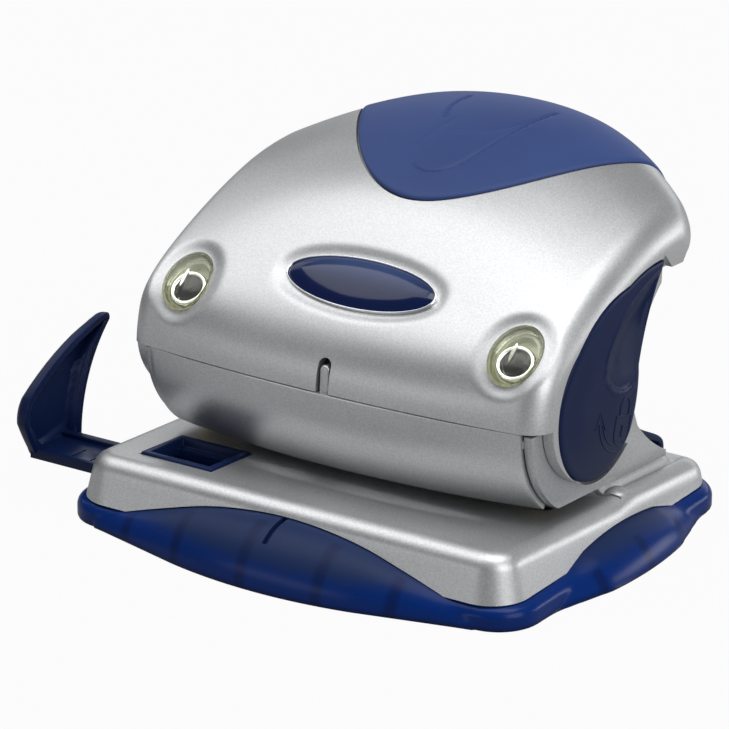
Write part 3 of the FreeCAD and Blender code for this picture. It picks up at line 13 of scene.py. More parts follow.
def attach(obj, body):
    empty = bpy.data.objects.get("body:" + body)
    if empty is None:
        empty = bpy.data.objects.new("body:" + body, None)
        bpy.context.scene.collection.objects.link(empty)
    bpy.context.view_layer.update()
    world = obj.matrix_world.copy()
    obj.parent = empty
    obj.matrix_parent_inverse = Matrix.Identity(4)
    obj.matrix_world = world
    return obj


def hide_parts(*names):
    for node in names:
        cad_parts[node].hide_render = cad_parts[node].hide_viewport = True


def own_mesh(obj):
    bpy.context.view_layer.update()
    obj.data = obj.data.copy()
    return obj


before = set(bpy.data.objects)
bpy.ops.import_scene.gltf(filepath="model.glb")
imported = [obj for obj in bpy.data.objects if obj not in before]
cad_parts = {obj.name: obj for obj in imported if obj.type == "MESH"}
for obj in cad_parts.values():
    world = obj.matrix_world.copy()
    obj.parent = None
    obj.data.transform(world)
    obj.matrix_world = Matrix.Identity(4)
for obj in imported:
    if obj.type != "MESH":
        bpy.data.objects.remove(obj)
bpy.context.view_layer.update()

# Frames: from millimetres in a local frame to metres in the row frame
TILT = math.radians(4.0)
DECK_HEIGHT = 12.0
PIVOT_FORWARD = 2.6
PIVOT_RISE = 22.4
LEAN = Matrix.Rotation(-TILT, 4, "X")
DECK_PLACE = Matrix.Translation((0, 0, DECK_HEIGHT)) @ LEAN
HEAD_PLACE = DECK_PLACE @ Matrix.Translation((0, -PIVOT_FORWARD, PIVOT_RISE))
TO_METRES = Matrix.Scale(0.001, 4)
HEAD = TO_METRES @ HEAD_PLACE
DECK = TO_METRES @ DECK_PLACE
ROW = TO_METRES


# Modelling helpers
def deselect():
    if bpy.context.object and bpy.context.object.mode != "OBJECT":
        bpy.ops.object.mode_set(mode="OBJECT")
    bpy.ops.object.select_all(action="DESELECT")


def activate(piece):
    deselect()
    piece.select_set(True)
    bpy.context.view_layer.objects.active = piece


def named(name):
    piece = bpy.context.object
    piece.name = name
    piece.data.name = name
    return piece


def points_of(piece):
    flat = np.zeros(len(piece.data.vertices) * 3)
    piece.data.vertices.foreach_get("co", flat)
    return flat.reshape(-1, 3)


def place_points(piece, places):
    piece.data.vertices.foreach_set("co", np.asarray(places, float).ravel())
    piece.data.update()


def grid(name, across, along, shape):
    """A sheet of faces. shape gives the places of its points from two shares, 0 to 1."""
    deselect()
    bpy.ops.mesh.primitive_grid_add(x_subdivisions=across, y_subdivisions=along, size=1)
    piece = named(name)
    flat = points_of(piece)
    place_points(piece, shape(flat[:, 0] + 0.5, flat[:, 1] + 0.5))
    return piece


def sheet(name, places):
    """A sheet of faces over a table of places."""
    count, rows = places.shape[0] - 1, places.shape[1] - 1

    def shape(s, t):
        return places[np.rint(s * count).astype(int), np.rint(t * rows).astype(int)]

    return grid(name, count, rows, shape)


def edit(piece, action):
    """Run mesh operators on a whole piece in edit mode."""
    activate(piece)
    bpy.ops.object.mode_set(mode="EDIT")
    bpy.ops.mesh.select_all(action="SELECT")
    action()
    bpy.ops.object.mode_set(mode="OBJECT")
    return piece


def weld(piece, distance=0.001):
    return edit(piece, lambda: bpy.ops.mesh.remove_doubles(threshold=distance))


def close_holes(piece):
    return edit(piece, lambda: bpy.ops.mesh.fill_holes(sides=0))


def face_out(piece):
    return edit(piece, lambda: bpy.ops.mesh.normals_make_consistent(inside=False))


def sealed(piece):
    """Close a piece's open ends and turn its faces outwards."""
    return face_out(close_holes(piece))


def modify(piece, kind, **settings):
    activate(piece)
    step = piece.modifiers.new(kind.lower(), kind)
    for key, value in settings.items():
        setattr(step, key, value)
    bpy.ops.object.modifier_apply(modifier=step.name)
    return piece


def thicken(piece, amount):
    """Give a sheet its wall, inwards from the side that its faces point to."""
    face_out(piece)
    modify(piece, "SOLIDIFY", thickness=amount, offset=-1, use_even_offset=True)
    return face_out(piece)


def soften(piece, width, segments=2, angle=35.0):
    return modify(piece, "BEVEL", width=width, segments=segments, limit_method="ANGLE",
                  angle_limit=math.radians(angle), use_clamp_overlap=True)


def mix_with(piece, tool, operation="DIFFERENCE"):
    before = len(piece.data.polygons)
    modify(piece, "BOOLEAN", object=tool, operation=operation, solver="MANIFOLD")
    if len(piece.data.polygons) in (0, before):
        print("CHECK", piece.name, operation, tool.name, "left the mesh as it was")
    bpy.data.objects.remove(tool)
    return piece


def smooth(piece, angle=30.0):
    activate(piece)
    bpy.ops.object.shade_smooth_by_angle(angle=math.radians(angle))
    return piece


def slab(name, edge, low, high, plane="YZ"):
    """A flat plate with a given outline, between two levels across its plane."""
    deselect()
    bpy.ops.mesh.primitive_circle_add(vertices=len(edge), fill_type="NGON")
    piece = named(name)
    a, b = np.array(edge, float).T
    level = np.full(len(a), float(low))
    order = {"YZ": (level, a, b), "XZ": (a, level, b), "XY": (a, b, level)}[plane]
    place_points(piece, np.stack(order, 1))
    step = {"YZ": (high - low, 0, 0), "XZ": (0, high - low, 0), "XY": (0, 0, high - low)}[plane]

    def raise_it():
        bpy.ops.mesh.extrude_region_move(TRANSFORM_OT_translate={"value": step})
        bpy.ops.mesh.select_all(action="SELECT")
        bpy.ops.mesh.normals_make_consistent(inside=False)

    return edit(piece, raise_it)


def block(name, low, high):
    """A box between two corners."""
    (x0, y0, z0), (x1, y1, z1) = low, high
    return slab(name, [(x0, y0), (x1, y0), (x1, y1), (x0, y1)], z0, z1, "XY")


def turned(name, profile, place, steps=64, stretch=(1.0, 1.0)):
    """A closed form turned about the local z axis from (radius, height) pairs."""
    profile = np.array(profile, float)
    rows = len(profile) - 1

    def shape(s, t):
        at = np.rint(t * rows).astype(int)
        angle = s * 2 * math.pi
        return np.stack([profile[at, 0] * stretch[0] * np.cos(angle),
                         profile[at, 0] * stretch[1] * np.sin(angle), profile[at, 1]], 1)

    piece = weld(grid(name, steps, rows, shape))
    close_holes(piece)
    piece.data.transform(place)
    return face_out(piece)


def rod(name, radius, start, length, axis="X", steps=64, ease=0.0):
    """A round bar from a start point along an axis, with eased ends."""
    turn = {"X": Matrix.Rotation(math.radians(90), 4, "Y"), "Z": Matrix.Identity(4),
            "Y": Matrix.Rotation(math.radians(-90), 4, "X")}[axis]
    profile = [(radius - ease, 0), (radius, ease), (radius, length - ease), (radius - ease, length)]
    if not ease:
        profile = [(radius, 0), (radius, length)]
    return turned(name, profile, Matrix.Translation(start) @ turn, steps)


def join_pieces(name, pieces):
    deselect()
    for piece in pieces:
        piece.select_set(True)
    bpy.context.view_layer.objects.active = pieces[0]
    bpy.ops.object.join()
    return named(name)


def on_deck(piece):
    """Move a piece drawn over the level deck into the deck's place."""
    piece.data.transform(DECK_PLACE)
    return piece


def arc_edge(corners, bends, steps=14):
    """Outline points through corners; bends gives an edge a radius and a side."""
    points = []
    for i, start in enumerate(corners):
        stop = corners[(i + 1) % len(corners)]
        points.append(tuple(start))
        if i not in bends:
            continue
        radius, side = bends[i]
        a, b = Vector(start), Vector(stop)
        chord = b - a
        across = Vector((-chord.y, chord.x)).normalized() * side
        centre = (a + b) / 2 - across * math.sqrt(max(radius ** 2 - chord.length ** 2 / 4, 0))
        first = math.atan2(a.y - centre.y, a.x - centre.x)
        last = math.atan2(b.y - centre.y, b.x - centre.x)
        sweep = (last - first) % (2 * math.pi)
        if side > 0:
            sweep -= 2 * math.pi
        count = max(2, int(steps * abs(sweep) / 1.2) + 2)
        for k in range(1, count):
            angle = first + sweep * k / count
            points.append((centre.x + radius * math.cos(angle), centre.y + radius * math.sin(angle)))
    return points


def fillet(corner, one, two, radius, steps):
    """Points of a round between two directions that leave a corner, in a plane."""
    one, two = Vector(one).normalized(), Vector(two).normalized()
    half = one.angle(two) / 2
    reach = radius / math.tan(half)
    centre = Vector(corner) + (one + two).normalized() * (radius / math.sin(half))
    start = Vector(corner) + one * reach - centre
    stop = Vector(corner) + two * reach - centre
    span = start.angle(stop)
    out = []
    for k in range(steps + 1):
        share = k / steps
        mixed = (start * math.sin((1 - share) * span) + stop * math.sin(share * span)) / math.sin(span)
        out.append(centre + mixed)
    return out


def plan_points(half_x, half_y, corner, spacing):
    """Points and outward directions round a rectangle with round corners."""
    places, outward = [], []
    for quarter in range(4):
        angle0 = quarter * math.pi / 2
        cx = (half_x - corner) * (1 if quarter in (0, 3) else -1)
        cy = (half_y - corner) * (1 if quarter in (0, 1) else -1)
        count = max(8, int(corner * math.pi / 2 / spacing * 1.5))
        for k in range(count + 1):
            angle = angle0 + math.pi / 2 * k / count
            places.append((cx + corner * math.cos(angle), cy + corner * math.sin(angle)))
            outward.append((math.cos(angle), math.sin(angle)))
        side = angle0 + math.pi / 2
        length = 2 * ((half_x - corner) if quarter % 2 == 0 else (half_y - corner))
        start = places[-1]
        count = max(2, int(length / spacing))
        along = (-math.sin(side), math.cos(side))
        for k in range(1, count):
            step = length * k / count
            places.append((start[0] + along[0] * step, start[1] + along[1] * step))
            outward.append((math.cos(side), math.sin(side)))
    return np.array(places), np.array(outward)


def ring_form(name, sections):
    """A closed sheet through sections, one list of points for each place round the form."""
    sections = np.array(sections, float)
    count, rows = sections.shape[0], sections.shape[1] - 1

    def shape(s, t):
        i = np.rint(s * count).astype(int) % count
        return sections[i, np.rint(t * rows).astype(int)]

    return weld(grid(name, count, rows, shape), 0.0005)


def settle(piece, place, body, finish, nodes=(), angle=30.0):
    """Put a finished piece in its place, give it its finish and let it ride on its body."""
    piece.data.transform(place)
    piece.data.update()
    smooth(piece, angle)
    piece.data.materials.clear()
    piece.data.materials.append(finish)
    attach(piece, body)
    if nodes:
        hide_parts(*nodes)
    return piece


def eased(node, name, width, body, finish, segments=2):
    """A copy of a CAD node with its edges eased, which stands for the node."""
    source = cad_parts[node]
    piece = bpy.data.objects.new(name, source.data.copy())
    bpy.context.scene.collection.objects.link(piece)
    piece.data.name = name
    for key in list(piece.keys()):
        del piece[key]

    def mend():
        bpy.ops.mesh.remove_doubles(threshold=0.000002)
        bpy.ops.mesh.dissolve_limited(angle_limit=math.radians(0.6))

    soften(edit(piece, mend), width * 0.001, segments)
    return settle(piece, Matrix.Identity(4), body, finish, [node])


# Finishes
def add_node(tree, kind, settings=None, inputs=None):
    """Add a node with its settings; its inputs are values, or the sockets that feed them."""
    made = tree.nodes.new(kind)
    for key, value in (settings or {}).items():
        setattr(made, key, value)
    for key, value in (inputs or {}).items():
        if isinstance(value, bpy.types.NodeSocket):
            tree.links.new(value, made.inputs[key])
        else:
            made.inputs[key].default_value = value
    return made


class Wire:
    """A value between material nodes; sums and products of values add Math nodes."""

    def __init__(self, maker, socket):
        self.maker = maker
        self.socket = socket

    def blend(self, operation, first, second):
        return self.maker.node("ShaderNodeMath", {"operation": operation}, {0: first, 1: second})

    def __add__(self, other):
        return self.blend("ADD", self, other)

    def __radd__(self, other):
        return self.blend("ADD", other, self)

    def __sub__(self, other):
        return self.blend("SUBTRACT", self, other)

    def __mul__(self, other):
        return self.blend("MULTIPLY", self, other)

    def __pow__(self, other):
        return self.blend("POWER", self, other)


class Finish:
    """A material made node by node around one Principled shader."""

    def __init__(self, name, **sockets):
        self.material = bpy.data.materials.new(name)
        self.material.use_nodes = True
        self.tree = self.material.node_tree
        self.shader = self.tree.nodes["Principled BSDF"]
        for key, value in sockets.items():
            self.shader.inputs[key.replace("_", " ")].default_value = value
        self.place = self.node("ShaderNodeTexCoord", {}, {}, "Object")

    def node(self, kind, settings, inputs, output=0):
        plain = {key: value.socket if isinstance(value, Wire) else value for key, value in inputs.items()}
        return Wire(self, add_node(self.tree, kind, settings, plain).outputs[output])

    def noise(self, scale, detail=2.0, roughness=0.5, place=None):
        return self.node("ShaderNodeTexNoise", {}, {
            "Vector": place or self.place, "Scale": scale, "Detail": detail, "Roughness": roughness})

    def spread(self, value, low, high):
        """Map a value's range onto 0 to 1, held at its ends and eased between."""
        return self.node("ShaderNodeMapRange", {"interpolation_type": "SMOOTHSTEP"},
                         {0: value, 1: low, 2: high, 3: 0.0, 4: 1.0})

    def size_of(self, value):
        """A value without its sign."""
        return self.node("ShaderNodeMath", {"operation": "ABSOLUTE"}, {0: value})

    def tint(self, amount, first, second):
        """A colour between two colours, by a value from 0 to 1."""
        first, second = (c if isinstance(c, Wire) else (*c, 1) for c in (first, second))
        return self.node("ShaderNodeMix", {"data_type": "RGBA"}, {0: amount, 6: first, 7: second}, 2)

    def axes(self):
        """The three coordinates of a place on the piece."""
        made = self.tree.nodes.new("ShaderNodeSeparateXYZ")
        self.tree.links.new(self.place.socket, made.inputs[0])
        return [Wire(self, out) for out in made.outputs]

    def relief(self, height, strength, distance):
        return self.node("ShaderNodeBump", {},
                         {"Height": height, "Strength": strength, "Distance": distance})

    def wear(self, colour, roughness, bump):
        """Feed the shader what changes over the surface."""
        for key, value in (("Base Color", colour), ("Roughness", roughness), ("Normal", bump)):
            self.tree.links.new(value.socket, self.shader.inputs[key])
        return self.material


def silver_enamel():
    """Metallic enamel: fine flakes, slightly cloudy, under a faint clear coat."""
    f = Finish("silver_enamel", Metallic=0.92, Coat_Weight=0.06, Coat_Roughness=0.30)
    flakes = f.noise(2600.0, 2.0, 0.6)
    clouds = f.noise(38.0, 3.0, 0.5)
    tone = f.spread(flakes, 0.34, 0.66) * 0.75 + f.spread(clouds, 0.3, 0.7) * 0.25
    colour = f.tint(tone, (0.54, 0.545, 0.55), (0.68, 0.685, 0.69))
    rough = 0.39 + f.spread(clouds, 0.3, 0.7) * 0.05 + flakes * 0.05
    return f.wear(colour, rough, f.relief(flakes, 0.12, 0.00004))


def frame_enamel():
    """The same silver on the pressed side plates, a little flatter and greyer."""
    f = Finish("frame_enamel", Metallic=0.75, Coat_Weight=0.15, Coat_Roughness=0.3)
    flakes = f.noise(2400.0, 2.0, 0.6)
    clouds = f.noise(60.0, 3.0, 0.5)
    tone = f.spread(flakes, 0.35, 0.65) * 0.6 + clouds * 0.4
    colour = f.tint(tone, (0.44, 0.45, 0.46), (0.6, 0.61, 0.62))
    return f.wear(colour, 0.42 + clouds * 0.12, f.relief(flakes, 0.12, 0.00004))


def brushed(name, light, dark, rough, scale=(1.0, 1.0, 1.0)):
    """Bare metal with fine lines along one direction and light wear."""
    f = Finish(name, Metallic=1.0)
    place = f.node("ShaderNodeMapping", {}, {"Vector": f.place, "Scale": scale})
    lines = f.noise(900.0, 3.0, 0.6, place)
    wear = f.noise(120.0, 4.0, 0.6)
    colour = f.tint(lines * 0.6 + wear * 0.4, dark, light)
    return f.wear(colour, rough + lines * 0.14 + wear * 0.1, f.relief(lines, 0.2, 0.00003))


def bright_chrome():
    """Bright trim with a little haze."""
    f = Finish("bright_chrome", Metallic=1.0)
    haze = f.noise(300.0, 2.0, 0.5)
    fine = f.noise(3000.0, 1.0, 0.5)
    colour = f.tint(haze, (0.74, 0.75, 0.77), (0.86, 0.87, 0.89))
    return f.wear(colour, 0.07 + haze * 0.08, f.relief(fine, 0.03, 0.00002))


def navy_moulding():
    """Dark blue moulded plastic, satin, with faint moulding grain."""
    f = Finish("navy_moulding", Specular_IOR_Level=0.17)
    grain = f.noise(1800.0, 3.0, 0.6)
    clouds = f.noise(45.0, 2.0, 0.5)
    tone = f.spread(clouds, 0.3, 0.7) * 0.7 + grain * 0.3
    colour = f.tint(tone, (0.0035, 0.011, 0.052), (0.0060, 0.018, 0.078))
    return f.wear(colour, 0.30 + clouds * 0.10 + grain * 0.05, f.relief(grain, 0.10, 0.00005))


def lever_moulding():
    """The lever's navy plastic: greyer on the disc, blue above, with a stippled thumb hollow."""
    f = Finish("lever_moulding", Specular_IOR_Level=0.14)
    _, y, z = f.axes()
    grain = f.noise(1700.0, 3.0, 0.6)
    clouds = f.noise(50.0, 2.0, 0.5)
    low = f.spread(z, 0.034, 0.018)
    upper = f.tint(clouds, (0.0035, 0.010, 0.050), (0.0055, 0.016, 0.070))
    slate = f.tint(clouds, (0.012, 0.020, 0.055), (0.017, 0.027, 0.068))
    colour = f.tint(low, upper, slate)
    beside, above = y - THUMB_PLACE[1], z - THUMB_PLACE[2]
    away = (beside * beside + above * above) ** 0.5
    stipple = f.node("ShaderNodeTexVoronoi", {}, {"Vector": f.place, "Scale": 2200.0})
    near = f.spread(away, 0.0075, 0.0035)
    colour = f.tint(near * 0.55, colour, (0.045, 0.055, 0.10))
    height = stipple * near + grain * 0.25
    return f.wear(colour, 0.32 + clouds * 0.08 + near * 0.16, f.relief(height, 0.35, 0.00010))


def grip_rubber():
    """Soft blue rubber with a very fine matte grain."""
    f = Finish("grip_rubber", Specular_IOR_Level=0.22)
    grain = f.noise(3200.0, 2.0, 0.6)
    clouds = f.noise(30.0, 3.0, 0.5)
    tone = f.spread(clouds, 0.3, 0.7) * 0.6 + grain * 0.4
    colour = f.tint(tone, (0.030, 0.057, 0.185), (0.041, 0.074, 0.225))
    return f.wear(colour, 0.44 + grain * 0.10, f.relief(grain, 0.22, 0.00006))


# Where the painted shadows of the tray's inner ribs lie, and half their blurred and sharp widths, in metres
FRONT_RIB_SHADOWS = (-0.0216, -0.0036, 0.0144, 0.030, -0.037)
SIDE_RIB_SHADOWS = (-0.014, 0.002, 0.018)
RIB_SHADOW_BLUR = (0.0022, 0.0003)


def tray_plastic():
    """Blue plastic painted to look translucent: painted shade along the bottom edge, a deep blue painted
    glow of light low down, slate near the top, and painted shadows of the ribs inside.
    """
    f = Finish("tray_plastic", Specular_IOR_Level=0.17)
    x, y, z = f.axes()
    clouds = f.noise(55.0, 3.0, 0.5)
    fine = f.noise(2200.0, 2.0, 0.5)
    # upper: the slate top, against the painted glow of light through the blue lower down
    upper = f.spread(z + clouds * 0.0018, 0.0048, 0.0088)
    # low: painted shade at the bottom edge, rising into the painted glow of light through the blue
    low = f.tint(f.spread(z, 0.0, 0.0016), (0.0008, 0.008, 0.060), (0.0012, 0.024, 0.165))
    colour = f.tint(upper, low, (0.010, 0.025, 0.090))
    front = f.spread(y, -0.0425, -0.0440)
    beside = f.spread(f.size_of(x), 0.0560, 0.0575)
    # shade: painted shadows of the inner ribs on the front and the sides
    shade = sum(f.spread(f.size_of(x - place), *RIB_SHADOW_BLUR) for place in FRONT_RIB_SHADOWS)
    for place in SIDE_RIB_SHADOWS:
        shade = shade + f.spread(f.size_of(y - place), *RIB_SHADOW_BLUR) * beside
    amount = f.spread(shade * (front + beside), 0.0, 1.0) * 0.55
    colour = f.tint(amount, colour, (0.002, 0.008, 0.052))
    rough = 0.22 + upper * 0.20 + clouds * 0.06
    return f.wear(colour, rough, f.relief(fine, 0.06, 0.00004))


def badge_enamel():
    """Glossy dark blue under a clear dome, with a painted highlight along its upper edge."""
    f = Finish("badge_enamel", Coat_Weight=0.35, Coat_Roughness=0.06, Specular_IOR_Level=0.2)
    _, _, z = f.axes()
    clouds = f.noise(140.0, 2.0, 0.5)
    # rise: painted highlight, lighter towards the badge's upper edge
    rise = f.spread(z + clouds * 0.0006, BADGE_HIGHLIGHT_LEVEL - 0.001, BADGE_HIGHLIGHT_LEVEL + 0.0040)
    colour = f.tint(rise, (0.0025, 0.010, 0.062), (0.045, 0.075, 0.190))
    return f.wear(colour, 0.12 + clouds * 0.06, f.relief(clouds, 0.02, 0.00004))


def lens_plastic():
    """Clear moulded plastic with a yellow-green cast."""
    f = Finish("lens_plastic", Transmission_Weight=1.0, IOR=1.30, Specular_IOR_Level=0.25)
    cast = f.noise(400.0, 2.0, 0.5)
    colour = f.tint(cast, (0.93, 0.94, 0.84), (0.97, 0.98, 0.91))
    return f.wear(colour, 0.03 + cast * 0.03, f.relief(cast, 0.03, 0.00005))


def lens_well():
    """The pale moulded seat seen through the lens, with painted light low down and painted shade towards the
    top.
    """
    f = Finish("lens_well", Coat_Weight=0.4, Coat_Roughness=0.15)
    _, _, z = f.axes()
    speck = f.noise(500.0, 2.0, 0.5)
    # rise: painted light and shade, paler low in the well and greyer towards the top
    rise = f.spread(z, WELL_LIGHT_LEVEL - 0.004, WELL_LIGHT_LEVEL + 0.003)
    colour = f.tint(rise, (0.50, 0.50, 0.34), (0.30, 0.31, 0.25))
    return f.wear(colour, 0.30 + speck * 0.15, f.relief(speck, 0.10, 0.00010))


def foot_rubber():
    """Matte black rubber."""
    f = Finish("foot_rubber")
    grain = f.noise(900.0, 3.0, 0.6)
    colour = f.tint(grain, (0.012, 0.012, 0.013), (0.028, 0.028, 0.030))
    return f.wear(colour, 0.62 + grain * 0.15, f.relief(grain, 0.3, 0.0001))


# The handle's skin, from its side views at the middle and at the ends
HALF = 50.0
CENTRE_ALONG = (0.0, 0.007, 0.050, 0.153, 0.276, 0.366, 0.478, 0.687, 0.843, 0.949, 1.0)
CENTRE_RISE = (-0.029, 0.079, 0.229, 0.411, 0.601, 0.718, 0.817, 0.949, 1.0, 0.977, 0.892)
SIDE_ALONG = (0.0, 0.006, 0.029, 0.082, 0.200, 0.320, 0.460, 0.640, 0.810, 0.930, 1.0)
SIDE_RISE = (-0.033, 0.115, 0.266, 0.385, 0.536, 0.655, 0.775, 0.900, 0.985, 1.0, 0.907)
CENTRE_FRONT, CENTRE_REAR, CENTRE_TOP = -26.5, 55.0, 46.7
SIDE_FRONT, SIDE_REAR, SIDE_TOP = -23.4, 38.3, 33.9
CROWN = 2.1
STATIONS = np.linspace(-HALF, HALF, 201)
STEPS = np.linspace(-0.04, 1.08, 449)


def side_view(x):
    """Control points of the handle's side view at a station."""
    crown = 1 - abs(x / HALF) ** CROWN
    centre = np.stack([CENTRE_FRONT + (CENTRE_REAR - CENTRE_FRONT) * np.array(CENTRE_ALONG),
                       CENTRE_TOP * np.array(CENTRE_RISE)], 1)
    end = np.stack([SIDE_FRONT + (SIDE_REAR - SIDE_FRONT) * np.array(SIDE_ALONG),
                    SIDE_TOP * np.array(SIDE_RISE)], 1)
    return end + (centre - end) * crown


def smooth_line(points, shares):
    """A smooth line through points, at shares of its length; it runs straight past its ends."""
    gaps = np.linalg.norm(np.diff(points, axis=0), axis=1)
    at = np.concatenate([[0], np.cumsum(gaps)])
    count = len(points)
    rows = np.zeros((count, count))
    right = np.zeros((count, 2))
    rise = np.diff(points, axis=0) / gaps[:, None]
    rows[0, 0] = rows[-1, -1] = 1
    right[0] = rise[0] + (rise[0] - rise[1]) * gaps[0] / (gaps[0] + gaps[1])
    right[-1] = rise[-1] + (rise[-1] - rise[-2]) * gaps[-1] / (gaps[-1] + gaps[-2])
    for i in range(1, count - 1):
        rows[i, i - 1] = 1 / gaps[i - 1]
        rows[i, i] = 2 / gaps[i - 1] + 2 / gaps[i]
        rows[i, i + 1] = 1 / gaps[i]
        right[i] = 3 * (rise[i - 1] / gaps[i - 1] + rise[i] / gaps[i])
    slopes = np.linalg.solve(rows, right)
    want = np.asarray(shares) * at[-1]
    held = np.clip(want, 0, at[-1])
    k = np.clip(np.searchsorted(at, held, side="right") - 1, 0, count - 2)
    h = gaps[k]
    u = ((held - at[k]) / h)[:, None]
    h = h[:, None]
    line = ((2 * u ** 3 - 3 * u ** 2 + 1) * points[k] + (u ** 3 - 2 * u ** 2 + u) * h * slopes[k]
            + (3 * u ** 2 - 2 * u ** 3) * points[k + 1] + (u ** 3 - u ** 2) * h * slopes[k + 1])
    past = (want - held)[:, None]
    return line + past * np.where(past < 0, slopes[0] / np.linalg.norm(slopes[0]),
                                  slopes[-1] / np.linalg.norm(slopes[-1]))


SKIN = np.zeros((len(STATIONS), len(STEPS), 3))
for row, station in enumerate(STATIONS):
    SKIN[row, :, 0] = station
    SKIN[row, :, 1:] = smooth_line(side_view(station), STEPS)
    slump = np.clip((STEPS - 0.66) / 0.34, 0, 1) ** 2
    SKIN[row, :, 1:] -= np.outer(3.2 * slump * (max(abs(station) - 18, 0) / 32) ** 1.6, (0.55, 0.85))
ALONG = np.gradient(SKIN, axis=1)
ACROSS = np.gradient(SKIN, axis=0)
OUT = np.cross(ACROSS, ALONG)
OUT /= np.linalg.norm(OUT, axis=2, keepdims=True)
RUN = np.concatenate([np.zeros((len(STATIONS), 1)),
                      np.cumsum(np.linalg.norm(np.diff(SKIN, axis=1), axis=2), axis=1)], 1)


def at_station(table, x):
    """A table's row between two stations."""
    place = np.clip((x + HALF) / (2 * HALF) * (len(STATIONS) - 1), 0, len(STATIONS) - 1.0001)
    i = int(place)
    return table[i] * (1 - (place - i)) + table[i + 1] * (place - i)


def skin_at(x, share):
    """Places and outward directions on the skin at one x, for shares of its side view."""
    skin, out = at_station(SKIN, x), at_station(OUT, x)
    place = np.stack([np.interp(share, STEPS, skin[:, k]) for k in range(3)], -1)
    direction = np.stack([np.interp(share, STEPS, out[:, k]) for k in range(3)], -1)
    place[..., 0] = x
    return place, direction / np.linalg.norm(direction, axis=-1, keepdims=True)


def share_at_rise(x, rise):
    """The share of the side view at which the skin's front reaches a height."""
    skin = at_station(SKIN, x)
    top = int(np.argmax(skin[:, 2]))
    return np.interp(rise, skin[:top, 2], STEPS[:top])


def on_skin(x0, rise, a, b, height):
    """Points near a spot on the skin: a across, b up along it and height off it."""
    out = np.zeros((len(a), 3))
    a, b, height = (np.broadcast_to(np.asarray(v, float), (len(out),)) for v in (a, b, height))
    for value in np.unique(np.round(a, 5)):
        chosen = np.abs(a - value) < 1e-4
        x = float(np.clip(x0 + value, -HALF, HALF))
        run = at_station(RUN, x)
        start = np.interp(share_at_rise(x, rise), STEPS, run)
        share = np.interp(start + b[chosen], run, STEPS)
        place, direction = skin_at(x, share)
        out[chosen] = place + direction * height[chosen, None]
    return out


LENS_X, LENS_RISE, LENS_HALF = 40.2, 13.5, (5.6, 7.4)
PLATE_RISE, PLATE_HALF = 19.2, (18.2, 6.3)
DISH_DEEP, DISH_WIDE = 0.9, 3.4
PLATE_DEEP, PLATE_WIDE = 0.8, 3.0


def outside(a, b, half):
    """About how far a spot lies outside an ellipse."""
    ring = np.sqrt((a / half[0]) ** 2 + (b / half[1]) ** 2) + 1e-9
    slope = np.sqrt((a / half[0] ** 2) ** 2 + (b / half[1] ** 2) ** 2) / ring + 1e-9
    return (ring - 1) / slope


def eased_step(value):
    value = np.clip(value, 0, 1)
    return value * value * (3 - 2 * value)


def dishes(x, share):
    """How far the skin sinks round the lenses and the nameplate, at one x."""
    run = at_station(RUN, x)
    here = np.interp(share, STEPS, run)
    sink = np.zeros(len(share))
    for spot, rise, half, deep, wide in ((-LENS_X, LENS_RISE, LENS_HALF, DISH_DEEP, DISH_WIDE),
                                         (LENS_X, LENS_RISE, LENS_HALF, DISH_DEEP, DISH_WIDE),
                                         (0, PLATE_RISE, PLATE_HALF, PLATE_DEEP, PLATE_WIDE)):
        if abs(x - spot) > half[0] + wide:
            continue
        start = np.interp(share_at_rise(x, rise), STEPS, run)
        away = outside(np.full(len(share), x - spot), here - start, half)
        sink = np.maximum(sink, deep * (1 - eased_step(away / wide)))
    return sink


# The handle's cover
SHOULDER_STEPS = 10
LEFT_SHOULDER, LEFT_DROP = 3.4, 1.6
RIGHT_SHOULDER, RIGHT_DROP = 5.5, 5.0
FLAT_COLUMNS, SKIN_ROWS = 124, 150
WALL = 2.4
RIGHT_EAR = [(-18.3, -0.6), (-16.9, -6.1), (-13.1, -10.9), (-6.6, -15.0), (1.0, -16.6),
             (8.6, -14.4), (14.2, -9.0)]
LEFT_EAR = [(-21.9, -0.6), (-20.6, -5.0), (-17.6, -9.3), (-12.3, -13.6), (-5.0, -16.6),
            (3.0, -16.9), (10.2, -14.0), (15.2, -8.6)]
RIGHT_EAR_REAR = [(16.7, 5.05), (25.6, 20.6), (30.5, 22.6)]
LEFT_EAR_REAR = [(16.7, 5.05), (26.0, 21.5), (32.0, 25.5)]


def handle_columns():
    """The x and the inward drop of each column of the cover's skin, left to right."""
    turn = np.linspace(math.pi / 2, 0, SHOULDER_STEPS + 1)[:-1]
    left_start, right_start = -(HALF - LEFT_SHOULDER), HALF - RIGHT_SHOULDER
    left = [(left_start - LEFT_SHOULDER * math.sin(a), LEFT_DROP * (1 - math.cos(a))) for a in turn]
    right = [(right_start + RIGHT_SHOULDER * math.sin(a), RIGHT_DROP * (1 - math.cos(a))) for a in turn]
    flat = np.linspace(left_start, right_start, FLAT_COLUMNS + 1)
    return left + [(x, 0.0) for x in flat] + list(reversed(right))


def ear_edge(side):
    """The ear's outline below the skin, from its front round to its rear."""
    round_part = smooth_line(np.array(LEFT_EAR if side < 0 else RIGHT_EAR), np.linspace(0, 1, 44))
    line = [tuple(q) for q in round_part]
    rear = LEFT_EAR_REAR if side < 0 else RIGHT_EAR_REAR
    line += arc_edge(rear[:2], {0: (24.7, 1)})[:-1]
    return line + rear[1:]


